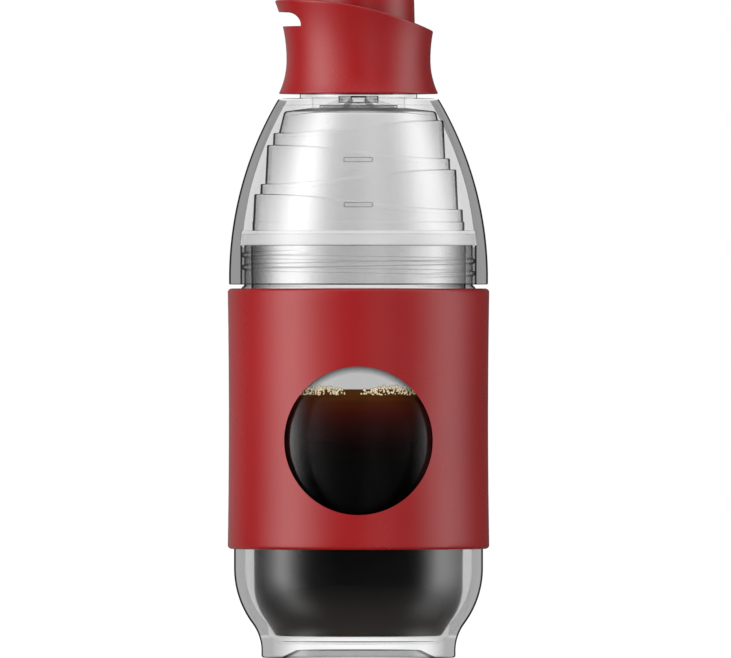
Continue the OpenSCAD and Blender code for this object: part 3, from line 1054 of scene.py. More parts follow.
@dataclass
class Flask:
    """Double-walled flask: outer shell, inner vessel with its neck thread, and the grip sleeve."""

    finishes: Finishes
    bend_z: float = 26.85
    bend_r: float = 28.0
    foot_r: float = 29.1
    foot_h: float = 2.0
    pushup_h: float = 2.25
    pushup_in: float = 10.5
    foot_w: float = 5.8
    shell_in_r: float = 34.2
    shell_gap: float = 0.4
    floor_gap: float = 0.6
    cup: CupFoot = CupFoot(31.4, 6.4)
    vessel_t: float = 1.6
    vessel_bend_r: float = 16.0
    vessel_bend_z: float = 20.25
    flange_t: float = 2.5
    root_h: float = 1.0
    root_t: float = 0.8
    neck_bore_r: float = 32.2
    neck_r: float = FLASK_NECK_R
    neck_rows: int = 91
    skin_least: float = 0.6
    steps: int = 240
    thread_h: float = 0.92
    thread_w: float = 2.0
    thread_lead: float = 3.7
    thread_z: float = 114.6
    thread_turns: float = 1.85
    thread_start: float = -60.0

    def build(self) -> None:
        """Build and dress the flask's pieces."""
        self.shell()
        self.vessel()
        sleeve = smooth_copy("grip_sleeve", "sleeve_skin")
        settle(sleeve, Body.FLASK, Slot.RED, self.finishes.red, "grip_sleeve")

    def shell(self) -> None:
        """Turn the outer shell: foot, hollow sweep, round bend, straight wall, and the inner face."""
        body_r, _, top = span("flask_outer_shell")
        drop = body_r - self.foot_r
        rise = self.bend_z - self.foot_h
        arcs = (rise ** 2 + drop ** 2) / (2 * drop)
        sweep_r = arcs - self.bend_r
        knee_z = self.bend_z - rise * self.bend_r / arcs
        hollow = arc_heights((self.foot_r + sweep_r, self.foot_h), sweep_r, self.foot_h, knee_z, 16, -1.0)
        bulge = arc_heights((body_r - self.bend_r, self.bend_z), self.bend_r, knee_z, self.bend_z, 24)
        centre_r = self.cup.wall_r - self.vessel_bend_r
        inner_r = self.vessel_bend_r + self.vessel_t + self.shell_gap
        floor = self.cup.floor_z - self.vessel_t - self.floor_gap
        cup = arc_heights((centre_r, self.vessel_bend_z), inner_r, self.vessel_bend_z, floor, 28)
        under = rounded([
            (0, self.pushup_h, 0), (self.foot_r - self.pushup_in, self.pushup_h, 1.2),
            (self.foot_r - self.foot_w, 0, 0.6), (self.foot_r, 0, 0.7), (self.foot_r, self.foot_h, 0)],
            closed=False)
        wall = rounded([
            (body_r, self.bend_z + 1, 0), (body_r, top, 0.3), (self.shell_in_r, top, 0.3),
            (self.shell_in_r, self.bend_z + 8, 4.0), (centre_r + inner_r, self.vessel_bend_z + 0.5, 0)],
            closed=False)
        profile = np.concatenate([under, hollow[1:], bulge[1:], wall, cup, [[0, floor]]])
        wall_rows = 1 + ROUND_STEPS + 1  # the wall's foot and the round of its top edge
        outer_rows = len(under) + len(hollow[1:]) + len(bulge[1:]) + wall_rows
        marks = {"outside": np.where(np.arange(len(profile)) < outer_rows, 1.0, 0.0),
                 "band": self.brew_band(profile)}
        piece = lathe("flask_shell", profile, False, marks=marks)
        settle(piece, Body.FLASK, Slot.CLEAR_OUTER, self.finishes.flask, "flask_outer_shell")

    def brew_band(self, profile: np.ndarray) -> np.ndarray:
        """Find where a level line of sight passes beside the vessel's inside.

        Args:
            profile: rows of (radius, height) of the shell.

        Returns:
            One facing value per row, 1 below the vessel's floor.
        """
        z = profile[:, 1]
        foot = self.cup.profile()
        inner = np.interp(z, foot[1:, 1], foot[1:, 0])
        return band_start(profile, np.where(z < self.cup.floor_z, profile[:, 0], inner))

    def vessel(self) -> None:
        """Turn the inner vessel: rounded cup, shoulder flange, neck and bore."""
        body_r, low, top = span("flask_inner_vessel")
        flange = span("flask_outer_shell")[2]
        shoulder = flange + self.flange_t
        root, root_r = span("grip_sleeve")[2] + self.root_h, self.neck_r + self.root_t
        centre_r = self.cup.wall_r - self.vessel_bend_r
        out_r = self.vessel_bend_r + self.vessel_t
        outside = arc_heights((centre_r, self.vessel_bend_z), out_r, low, self.vessel_bend_z, 28)
        inside = self.cup.profile()[::-1]
        lower = rounded([
            (centre_r + out_r, self.vessel_bend_z + 1, 0), (centre_r + out_r + 0.6, flange, 0.3),
            (body_r, flange, 0.2), (body_r, shoulder, 0.3), (root_r, shoulder, 0.2),
            (root_r, root - self.root_t, 0.3), (self.neck_r, root, 0)], closed=False)
        neck = np.column_stack([np.full(self.neck_rows, self.neck_r),
                                np.linspace(root, top - 0.6, self.neck_rows)])
        taper = (self.neck_bore_r - self.cup.wall_r) / (top - self.vessel_bend_z)
        low_bore = self.neck_bore_r - taper * (top - flange)
        rim = rounded([
            (self.neck_r, top - 0.5, 0), (self.neck_r, top, 0.4), (self.neck_bore_r, top, 0.4),
            (low_bore, flange + 0.2, 0), (low_bore, flange, 0),
            (self.cup.wall_r, self.cup.bend_z + 0.5, 0)], closed=False)
        profile = np.concatenate([[[0, low]], outside, lower, neck[1:], rim, inside])
        drawn = np.where(profile[:, 0] > self.neck_bore_r + self.skin_least, 1.0, 0.5)
        marks = {"outside": np.where(profile[:, 1] > flange, drawn, 0.0), "band": np.ones(len(profile))}
        thread = Thread(self.neck_r, self.thread_h, self.thread_w, self.thread_lead, self.thread_z,
                        self.thread_turns, self.thread_start)
        piece = lathe("vessel_wall", profile, False, self.steps, marks, thread)
        settle(piece, Body.FLASK, Slot.CLEAR_INNER, self.finishes.vessel, "flask_inner_vessel")


@dataclass
class Brew:
    """Coffee in the vessel, with two patches of foam against the wall."""

    finishes: Finishes
    surface_z: float = COFFEE_Z
    wall_r: float = 31.75
    cup: CupFoot = CupFoot(31.3, 6.5)
    edge_in: float = 1.2
    edge_h: float = 2.4
    patches: tuple[Pair, ...] = ((-36.0, -6.0), (1.0, 36.0))
    foam_h: float = 2.6
    foam_sunk: float = 1.3
    bubbles: int = 150
    bubble_least: float = 0.2
    bubble_more: float = 0.36
    bubble_gap: float = 0.08
    ball_steps: tuple[int, int] = (12, 8)
    seed: int = 11

    def build(self) -> None:
        """Build and dress the coffee and its foam."""
        side_r = self.cup.wall_r
        wall = rounded([
            (side_r, self.cup.bend_z + 1, 0), (side_r + 0.3, self.surface_z - self.edge_h, 0.8),
            (side_r - self.edge_in, self.surface_z, 0.8), (0, self.surface_z, 0)], closed=False)
        profile = np.concatenate([self.cup.profile(), wall])
        coffee = lathe("coffee", profile, closed=False)
        settle(coffee, Body.FLASK, Slot.CLEAR_INNER, self.finishes.coffee)
        foam = make_piece("foam", *self.foam_points())
        settle(foam, Body.FLASK, Slot.CLEAR_INNER, self.finishes.foam)

    def foam_points(self) -> tuple[np.ndarray, np.ndarray]:
        """Pack small spheres against the wall in each patch, larger ones on top, thickest in its middle.

        Returns:
            Points and faces of all the spheres.
        """
        draw = np.random.default_rng(self.seed)
        centres, sizes = [], []
        for start, end in self.patches:
            along = draw.beta(1.5, 1.5, self.bubbles)
            turn = np.radians(start + (end - start) * along - 90.0)
            rise = draw.random(self.bubbles)
            swelling = self.bubble_more * draw.random(self.bubbles) ** 1.5
            size = self.bubble_least + swelling * (0.4 + 0.6 * rise)
            reach = self.wall_r - self.bubble_gap - size - 0.3 * draw.random(self.bubbles) ** 2
            swell = self.foam_h * (0.45 + 0.55 * np.sin(math.pi * along))
            low = self.surface_z - self.foam_sunk + swell * (rise - 0.08)
            centres.append(np.column_stack([reach * np.cos(turn), reach * np.sin(turn), low]))
            sizes.append(size)
        centre, size = np.concatenate(centres), np.concatenate(sizes)
        across, down = self.ball_steps
        u, v = around(across)[:, None], np.linspace(0, math.pi, down)[None, :]
        ball = np.stack(np.broadcast_arrays(
            np.sin(v) * np.cos(u), np.sin(v) * np.sin(u), np.cos(v)), axis=-1).reshape(-1, 3)
        points = centre[:, None, :] + size[:, None, None] * ball[None]
        faces = grid_faces(across, down, True, False)
        shift = np.arange(len(centre))[:, None, None] * len(ball)
        return points.reshape(-1, 3), (faces[None] + shift).reshape(-1, 4)


@dataclass
class Dripper:
    """Dripper dome with its neck thread, its silicone ring and its outlet spider."""

    finishes: Finishes
    wide_h: float = 1.8
    skirt_r: float = 35.4
    top_r: float = 23.97
    top_t: float = 2.0
    wall_top: float = 1.38
    band_w: float = 3.0
    flask_neck_r: float = FLASK_NECK_R
    skin_least: float = 0.6
    lip_line: float = 0.25
    outside_rows: int = 72
    inside_rows: int = 60
    steps: int = 240
    neck_r: float = 17.6
    bore_r: float = 14.3
    cap_gap: float = 1.35
    seat_t: float = 1.0
    seal_w: float = 3.2
    seal_round: float = 0.4
    neck_rows: int = 61
    thread_h: float = 0.6
    thread_w: float = 2.0
    thread_lead: float = 3.5
    thread_drop: float = 9.0
    thread_turns: float = 2.0
    thread_start: float = 90.0
    ring_r: float = 11.7
    ring_t: float = 1.0
    ring_h: float = 1.2
    hub_r: float = 6.0
    hub_t: float = 1.2
    hub_h: float = 2.1
    post_r: float = 2.4
    spokes: int = 8
    spoke_w: float = 1.0
    edge_soft: Pair = (0.1, 0.25)
    spider_skin: float = 0.3
    spider_steps: int = 96

    def build(self) -> None:
        """Build and dress the dripper's pieces."""
        self.dome()
        self.spider()
        low, high = (np.array(corner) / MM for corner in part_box("shoulder_seal"))
        bore = self.skirt_r - self.seal_w
        seal = lathe("neck_ring", rounded([
            (r, z, self.seal_round) for r, z in (
                (bore, low[2]), (high[0], low[2]), (high[0], high[2]), (bore, high[2]))]))
        settle(seal, Body.SEAL, Slot.SILICONE, self.finishes.silicone, "shoulder_seal")

    def spider(self) -> None:
        """Turn the outlet's ring, hub and post, and set sloping spokes between the ring and the hub.

        A round piece has a dark line along both of its edges and a share of its tints between them. A spoke
        is a square bar along a straight line from the hub's wall down to the ring's.
        """
        low, top = span("drip_spider")[1:]
        hub_z = top - self.hub_h
        looks, ring, hub = self.finishes, self.ring_r, self.hub_r
        ring_in, hub_in, ring_top = ring - self.ring_t, hub - self.hub_t, low + self.ring_h
        for name, bore, r, z0, z1, edge, plain, finish, *nodes in (
                ("outlet_ring", ring_in, ring, low, ring_top, 0.22, 0.4, looks.ring, "drip_spider"),
                ("outlet_hub", hub_in, hub, hub_z, top, 0.0, 0.4, looks.hub),
                ("outlet_post", 0.0, self.post_r, hub_z - 0.2, top - 0.1, 0.25, 0.5, looks.post)):
            near, far = (edge + soft for soft in self.edge_soft)
            wall = [(r, z0, 0.1), (r, z0 + near, 0), (r, z0 + far, 0), (r, z1 - far, 0), (r, z1 - near, 0),
                    (r, z1, 0.1)]
            profile = rounded([(bore, z0, 0), *wall, (bore, z1, 0)], bore > 0)
            middle = np.abs(profile[:, 1] - (z0 + z1) / 2) < (z1 - z0 - near - far) / 2
            outer = np.where(profile[:, 0] > r - self.spider_skin, np.where(middle, plain, 0.5), 0.0)
            marks = {"outside": outer, "band": middle.astype(float)}
            piece = lathe(name, profile, bore > 0, self.spider_steps, marks)
            settle(piece, Body.DRIPPER, Slot.CLEAR_INNER, finish, *nodes)
        turn = (np.arange(self.spokes) + 0.5) * 2 * math.pi / self.spokes
        ends = np.array([(hub - self.hub_t / 2, hub_z + self.hub_t / 2),
                         (ring - self.ring_t / 2, low + self.ring_h / 2)])
        side = np.array([(-1, -1), (1, -1), (1, 1), (-1, 1)]) * self.spoke_w / 2
        reach, across, rise = np.broadcast_arrays(
            ends[:, None, 0], side[None, :, 0], ends[:, None, 1] + side[None, :, 1])
        points = np.stack([np.multiply.outer(np.cos(turn), reach) - np.multiply.outer(np.sin(turn), across),
                           np.multiply.outer(np.sin(turn), reach) + np.multiply.outer(np.cos(turn), across),
                           np.broadcast_to(rise, (self.spokes, *rise.shape))], axis=-1)
        bar = np.concatenate([grid_faces(2, 4, False, True), [[0, 1, 2, 3], [7, 6, 5, 4]]])
        faces = (np.arange(self.spokes)[:, None, None] * 8 + bar[None]).reshape(-1, 4)
        spokes = make_piece("outlet_spokes", points.reshape(-1, 3), faces, 30.0,
                            {"band": np.ones(points[..., 0].size)})
        settle(spokes, Body.DRIPPER, Slot.CLEAR_INNER, looks.spokes)

    @staticmethod
    def curve(r0: float, r1: float, z0: float, z1: float, start: float, count: int) -> np.ndarray:
        """Sample an arc that leaves the vertical at (r0, z0) and reaches (r1, z1).

        Args:
            r0: radius where the arc is vertical.
            r1: radius at the far end.
            z0: height where the arc is vertical.
            z1: height of the far end.
            start: height of the first point.
            count: number of points.

        Returns:
            Array of (radius, height) rows from start to z1.
        """
        rise, inset = z1 - z0, r0 - r1
        radius = (rise ** 2 + inset ** 2) / (2 * inset)
        return arc_heights((r0 - radius, z0), radius, start, z1, count)

    def dome(self) -> None:
        """Turn the dome: outer curve, flat top, neck, bore, inner curve and skirt."""
        dome_r, low, rim = span("dripper_shell")
        _, seal_z, seal_top = span("shoulder_seal")
        seat, top = seal_top + self.seat_t, span("cap_body")[1] - self.cap_gap
        ceiling, wide = top - self.top_t, low + self.wide_h
        outside = self.curve(dome_r, self.top_r, wide, top, low, self.outside_rows)
        ceiling_r = float(np.interp(ceiling, outside[:, 1], outside[:, 0])) - self.wall_top
        inside = self.curve(self.skirt_r, ceiling_r, wide, ceiling, seat, self.inside_rows)[::-1]
        skirt = [(self.skirt_r, seat, 0.2), (self.skirt_r, seal_z + 0.1, 0), (self.skirt_r, seal_z - 0.1, 0),
                 (self.skirt_r, low, 0.5), (*outside[0], 1.0)]
        neck = np.linspace(top + 0.8, rim - 0.6, self.neck_rows)
        crown = [
            (*outside[-1], 0.35), (self.neck_r, top, 0.75), *((self.neck_r, z, 0) for z in neck),
            (self.neck_r, rim, 0.4), (self.bore_r, rim, 0.4), (self.bore_r, ceiling, 0.4), (*inside[0], 0.6)]
        rows = [(*inside[-1], 0), *skirt, *((*p, 0) for p in outside[1:-1]), *crown,
                *((*p, 0) for p in inside[1:-1])]
        profile = rounded(rows)
        inner = np.interp(profile[:, 1], inside[::-1, 1], inside[::-1, 0], left=self.skirt_r)
        in_crown = profile[:, 1] > top
        skin = inner + self.skin_least
        outer = np.where(in_crown, profile[:, 0] > self.bore_r + 1, profile[:, 0] > skin)
        under_seal = profile[:, 1] < seal_z
        in_skirt = under_seal & (profile[:, 0] > self.skirt_r - 0.01) & ~outer
        outer = np.where(in_skirt, 0.5, outer)
        past = np.where(under_seal, self.flask_neck_r, np.minimum(inner, profile[:, 0] - self.band_w))
        band = band_start(profile, past)
        band = np.where(in_crown | (profile[:, 0] < skin), 1.0, band)
        band = np.where(profile[:, 1] < low + self.lip_line, -1.0, band)
        thread = Thread(self.neck_r, self.thread_h, self.thread_w, self.thread_lead, rim - self.thread_drop,
                        self.thread_turns, self.thread_start)
        piece = lathe("dome_shell", profile, True, self.steps, {"outside": outer, "band": band}, thread)
        settle(piece, Body.DRIPPER, Slot.CLEAR_OUTER, self.finishes.dome, "dripper_shell")


@dataclass
class Cone:
    """Stepped cone in the dome: each ledge leans to the other side than the one below it."""

    finishes: Finishes
    ledges: int = 4
    first_z: float = 159.2
    pitch: float = 7.5
    first_r: float = 25.5
    step_r: float = 1.92
    draft: float = 0.05
    lean: float = 4.2
    wall: float = 1.2
    foot_r: float = 31.81
    foot_h: float = 3.6
    flange_t: float = 1.0
    crown_in: float = 1.6
    crown_slope: float = 0.25
    roof_z: float = 163.8
    spigot_r: float = 14.0
    outlet_r: float = 12.0
    hole_r: float = 10.8
    outlet_z: float = 164.6
    spigot_tint: float = 0.14
    steps: int = 240
    corner_steps: int = 5
    bars: tuple[tuple[int, float], ...] = ((2, 149.2), (4, 135.7))
    bar_l: float = 8.8
    bar_h: float = 1.5
    bar_t: float = 0.45
    bar_sunk: float = 0.3
    bar_round: float = 0.25

    def build(self) -> None:
        """Build and dress the cone and its two level bars."""
        sections = [self.section(angle) for angle in around(self.steps)]
        rings = [rounded(skin + inside, segments=self.corner_steps) for skin, inside in sections]
        outer_rows = len(rounded(sections[0][0], segments=self.corner_steps))
        r, z = rings[0].T
        in_skin = (np.arange(len(r)) < outer_rows) & (r <= self.foot_r + 0.5)
        outer = np.where(in_skin, np.where(z > self.roof_z + 1.0, self.spigot_tint, 1.0), 0.0)
        cone = turned("stepped_cone", rings, True, {"outside": outer, "band": np.ones(len(outer))})
        settle(cone, Body.DRIPPER, Slot.CLEAR_INNER, self.finishes.cone, "dripper_cone")
        for k, bar_z in self.bars:
            settle(self.bar(k, bar_z), Body.DRIPPER, Slot.CLEAR_INNER, self.finishes.cone)

    def ledge_z(self, k: int, angle: float) -> float:
        """Find the height of a ledge at an angle.

        The ledge lies level at both sides and leans across the middle: its middle height plus or minus
        r tan(lean) sin(pi / 2 cos(angle)).

        Args:
            k: number of the ledge, from 1 at the top.
            angle: angle about the axis.

        Returns:
            Height in millimetres.
        """
        way = 1 if k % 2 else -1
        reach = self.ledge_r(k) * math.tan(math.radians(self.lean))
        return self.first_z - (k - 1) * self.pitch + way * reach * math.sin(math.pi / 2 * math.cos(angle))

    def ledge_r(self, k: int) -> float:
        """Return the radius of the wall right under ledge k, in millimetres."""
        return self.first_r + (k - 1) * self.step_r

    def section(self, angle: float) -> tuple[list[Row], list[Row]]:
        """Draw the cone's section at an angle, as a closed ring from the spigot down and back up inside.

        Args:
            angle: angle about the axis.

        Returns:
            Rows of (radius, height, corner radius) for the skin, and then for the inside.
        """
        flange_r, base, rim = span("dripper_cone")
        z = [self.ledge_z(k, angle) for k in range(1, self.ledges + 1)] + [base + self.foot_h]
        r = [self.ledge_r(k) for k in range(1, self.ledges + 1)] + [self.foot_r]
        crown_r = r[0] - self.crown_in
        top_r = crown_r - self.crown_slope * (self.roof_z - z[0])
        skin = [(self.spigot_r, rim, 0.2), (self.spigot_r, self.roof_z + 1.1, 0.5), (top_r, self.roof_z, 1.0),
                (crown_r, z[0], 0.25)]
        lining = [(self.hole_r, self.roof_z + 0.2, 0.1), (top_r - self.wall, self.roof_z - self.wall, 0.6),
                  (crown_r - self.wall, z[0] - self.wall, 0.25)]
        for k in range(self.ledges):
            low_r = r[k] + self.draft * (z[k] - z[k + 1])
            skin += [(r[k], z[k], 0.3), (low_r, z[k + 1], 0.2)]
            lining += [(r[k] - self.wall, z[k] - self.wall, 0.2),
                       (low_r - self.wall, z[k + 1] - self.wall, 0.2)]
        skin += [(r[-1], z[-1], 0.3), (r[-1], base + self.flange_t, 0.2),
                 (flange_r, base + self.flange_t, 0.2), (flange_r, base, 0.2)]
        lining += [(r[-1] - self.wall, z[-1] - self.wall, 0.2), (r[-1] - self.wall, base, 0.2)]
        outlet = [(self.hole_r, self.outlet_z, 0.1), (self.outlet_r, self.outlet_z, 0.1),
                  (self.outlet_r, rim, 0.2)]
        return skin, lining[::-1] + outlet

    def bar(self, k: int, z0: float) -> bpy.types.Object:
        """Raise a level bar on the front of the wall under ledge k: square at the left, round at the right.

        Its rings run from the middle of the base out to the outline and back to the middle of the face,
        each at its own distance from the cone's axis.

        Args:
            k: number of the ledge above the bar.
            z0: height of the bar's middle.

        Returns:
            The new object.
        """
        half, end = self.bar_h / 2, self.bar_l / 2
        outline = rounded([(-end, -half, self.bar_round), (end, -half, half), (end, half, half),
                           (-end, half, self.bar_round)], segments=8)
        wall_r = self.ledge_r(k) + self.draft * (self.ledge_z(k, math.pi / 2) - z0)
        rings = [(0.0, -self.bar_sunk), (1.0, -self.bar_sunk), (1.0, self.bar_t - 0.3),
                 (0.8, self.bar_t - 0.1), (0.6, self.bar_t), (0.0, self.bar_t)]
        points = []
        for share, height in rings:
            inset = np.sign(outline) * (1 - share) * half
            flat = outline - inset if share > 0 else outline * 0
            depth = -np.sqrt((wall_r + height) ** 2 - flat[:, 0] ** 2)
            points.append(np.column_stack([flat[:, 0], depth, z0 + flat[:, 1]]))
        grid = np.stack(points)
        rim = np.repeat([0.0, 0.0, 1.0, 1.0, 0.0, 0.0], grid.shape[1])
        return make_piece("level_bar_%d" % k, grid.reshape(-1, 3), grid_faces(*grid.shape[:2], False, True),
                          50.0, {"outside": rim, "band": 1 - rim})


@dataclass
class Cap:
    """Flared cap with a slanted rim, a carry slot, a deck with its spout, and the hinged lid."""

    finishes: Finishes
    waist_r: float = 21.6
    waist_z: float = 179.25
    low_curve: float = 23.0
    top_curve: float = 46.0
    wall: float = 1.7
    deck_z: float = 180.6
    deck_top: float = 183.0
    collar_r: float = 18.4
    collar_t: float = 1.7
    collar_z: float = 170.25
    rim_curve: float = 105.0
    rim_x: float = -21.0
    rim_top: float = 197.25
    rim_round: float = 0.6
    slot_z: float = 189.3
    slot_h: float = 4.35
    slot_x: float = -17.3
    slot_round: float = 4.0
    past: float = 40.0
    pocket_z: float = 176.1
    spout_x: float = 6.0
    spout_r: float = 4.8
    spout_t: float = 1.7
    spout_top: float = 190.0
    seat_w: float = 0.9
    seat_t: float = 1.0
    vent_x: float = -8.0
    vent_r: float = 0.9
    ear_y: float = 3.9
    ear_w: float = 2.6
    ear_r: float = 1.7
    hinge_z: float = 195.5
    hinge_x: float = -20.3
    fit: float = 0.05
    steps: int = 240
    bore_steps: int = 64

    def build(self) -> None:
        """Build and dress the cap's and the lid's pieces."""
        body = turned("cap_skirt", [self.ring(angle) for angle in around(self.steps)], False)
        low, high = self.deck_z - 1, self.deck_top + 1
        holes = [lathe(name, np.array([[0, low], [r, low], [r, high], [0, high]]), False, self.bore_steps,
                       shift_x=x)
                 for name, r, x in (("bore", self.spout_r + self.spout_t + self.fit, self.spout_x),
                                    ("vent", self.vent_r, self.vent_x))]
        drill(body, prism("slot", self.slot(), -self.past, self.past), *holes)
        settle(body, Body.CAP, Slot.RED, self.finishes.red, "cap_body")
        self.spout()
        for side in (-1, 1):
            near, far = sorted((side * self.ear_y, side * (self.ear_y + self.ear_w)))
            ear = prism("hinge_ear_%s" % ("left" if side < 0 else "right"), self.ear(), near, far)
            settle(ear, Body.CAP, Slot.RED, self.finishes.red)
        lid = smooth_copy("flip_lid", "lid_shell")
        settle(lid, Body.LID, Slot.RED, self.finishes.red, "flip_lid")
        for node, material in (("cap_gasket", self.finishes.silicone), ("spout_pad", self.finishes.silicone),
                               ("lid_hinge_pin", self.finishes.steel)):
            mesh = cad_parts[node].data
            mesh.materials.clear()
            mesh.materials.append(material)
            LOG.info("%s: dressed as packed", node)

    def flare(self, z: Union[float, Sequence[float]], depth: float) -> np.ndarray:
        """Return the skirt's radius at a height: two hollow arcs that meet at the waist.

        Args:
            z: heights in millimetres.
            depth: distance under the outer face.

        Returns:
            Radii in millimetres.
        """
        curve = np.where(np.asarray(z) < self.waist_z, self.low_curve, self.top_curve)
        return self.waist_r + curve - np.sqrt((curve + depth) ** 2 - (np.asarray(z) - self.waist_z) ** 2)

    def face(self, z: Sequence[float], depth: float, corner: float = 0.0) -> list[Row]:
        """Draw a stretch of the skirt's face.

        Args:
            z: heights in millimetres.
            depth: distance under the outer face.
            corner: radius of each corner.

        Returns:
            Rows of (radius, height, corner radius).
        """
        return [(r, height, corner) for r, height in zip(self.flare(z, depth), z)]

    def rim_z(self, angle: float, depth: float) -> float:
        """Find where the skirt's face at an angle meets the round cut that forms the rim.

        The cut is a cylinder along Y, so its height follows from x; the radius follows from the height, and
        a few rounds of one after the other settle both.

        Args:
            angle: angle about the axis.
            depth: distance under the outer face.

        Returns:
            Height of the rim in millimetres.
        """
        z = self.rim_top
        for _ in range(24):
            x = float(self.flare(z, depth)) * math.cos(angle) - self.rim_x
            z = self.rim_top - self.rim_curve + math.sqrt(self.rim_curve ** 2 - x * x)
        return z

    def ring(self, angle: float) -> np.ndarray:
        """Draw the cap's section at an angle, from the deck's underside round to its top.

        Args:
            angle: angle about the axis.

        Returns:
            Array of (radius, height) rows.
        """
        low = span("cap_body")[1]
        outer_rim, inner_rim = (self.rim_z(angle, depth) for depth in (0.0, self.wall))
        out_r = self.collar_r + self.collar_t
        rows = [(0, self.deck_z, 0), (self.collar_r, self.deck_z, 0.3), (self.collar_r, self.collar_z, 0.3),
                (out_r, self.collar_z, 0.3), (out_r, self.pocket_z, 0.2)]
        rows += self.face(np.linspace(self.pocket_z, low, 12)[1:-1], self.wall)
        rows += self.face([low], self.wall, 0.3) + self.face([low], 0.0, 0.35)
        rows += self.face(np.linspace(low, self.waist_z, 24)[2:-1], 0.0)
        rows += self.face(np.linspace(self.waist_z, outer_rim, 26)[:-2], 0.0)
        rows += self.face([outer_rim], 0.0, self.rim_round)
        rows += self.face([inner_rim], self.wall, self.rim_round)
        rows += self.face(np.linspace(inner_rim, self.deck_top, 20)[2:-2], self.wall)
        rows += [*self.face([self.deck_top], self.wall, 0.5), (0, self.deck_top, 0)]
        return rounded(rows, closed=False)

    def slot(self) -> np.ndarray:
        """Draw the carry slot: flat below, one large round corner above its inner end.

        Returns:
            Array of (x, z) rows.
        """
        top, turn = self.slot_z + self.slot_h, np.linspace(0, math.pi / 2, 25)
        arc = np.column_stack([self.slot_x - self.slot_round * (1 - np.cos(turn)),
                               top - self.slot_round * (1 - np.sin(turn))])
        foot = rounded([(-self.past, self.slot_z, 0), (self.slot_x, self.slot_z, 0.15), (*arc[0], 0)], False)
        return np.concatenate([foot[:-1], arc, [[-self.past, top]]])

    def ear(self) -> np.ndarray:
        """Draw a hinge ear: square towards the skirt and round about the pin.

        Returns:
            Array of (x, z) rows.
        """
        turn = np.linspace(-math.pi / 2, math.pi / 2, 25)
        nose = np.column_stack([self.hinge_x + self.ear_r * np.cos(turn),
                                self.hinge_z + self.ear_r * np.sin(turn)])
        back = self.hinge_x - self.ear_w
        under, over = self.hinge_z - self.ear_r, self.hinge_z + self.ear_r
        return np.concatenate([[[back, under]], nose, [[back, over]]])

    def spout(self) -> None:
        """Turn the drinking spout on the deck."""
        out_r = self.spout_r + self.spout_t
        seat_r, seat_top = out_r + self.seat_w, self.deck_top + self.seat_t
        ring = rounded([
            (self.spout_r, self.deck_z, 0.3), (out_r, self.deck_z, 0.3), (out_r, self.deck_top, 0),
            (seat_r, self.deck_top, 0), (seat_r, seat_top, 0.4), (out_r, seat_top, 0.4),
            (out_r, self.spout_top, 0.5), (self.spout_r, self.spout_top, 0.5)])
        piece = lathe("spout_tube", ring, True, self.bore_steps, shift_x=self.spout_x)
        settle(piece, Body.CAP, Slot.RED, self.finishes.red, "drinking_spout")


# The studio


@dataclass(frozen=True)
class Glow:
    """A soft upright panel of light in the surroundings.

    Its azimuth is in degrees from the front, positive to the right, and its width in degrees.
    """

    azimuth: float
    width: float
    strength: float


@dataclass(frozen=True)
class Lamp:
    """A soft panel that looks at the middle of the bottle and leaves no mirror image on it.

    Its azimuth is in degrees from the front, positive to the right, its elevation in degrees above the
    horizon, its power in watts, and its distance, size and target are in metres.
    """

    name: str
    azimuth: float
    elevation: float
    power: float
    distance: float = 0.9
    size: Pair = (0.5, 0.6)
    target_z: float = 0.1

    def hang(self) -> None:
        """Put the lamp into the scene."""
        data = bpy.data.lights.new(self.name, "AREA")
        data.shape, data.energy = "RECTANGLE", self.power
        data.size, data.size_y = self.size
        a, e = math.radians(self.azimuth), math.radians(self.elevation)
        way = Vector((math.sin(a) * math.cos(e), -math.cos(a) * math.cos(e), math.sin(e)))
        lamp = bpy.data.objects.new(self.name, data)
        lamp.visible_glossy = lamp.visible_transmission = False
        lamp.location = Vector((0, 0, self.target_z)) + way * self.distance
        lamp.rotation_mode = "QUATERNION"
        lamp.rotation_quaternion = (-way).to_track_quat("-Z", "Y")
        bpy.context.scene.collection.objects.link(lamp)


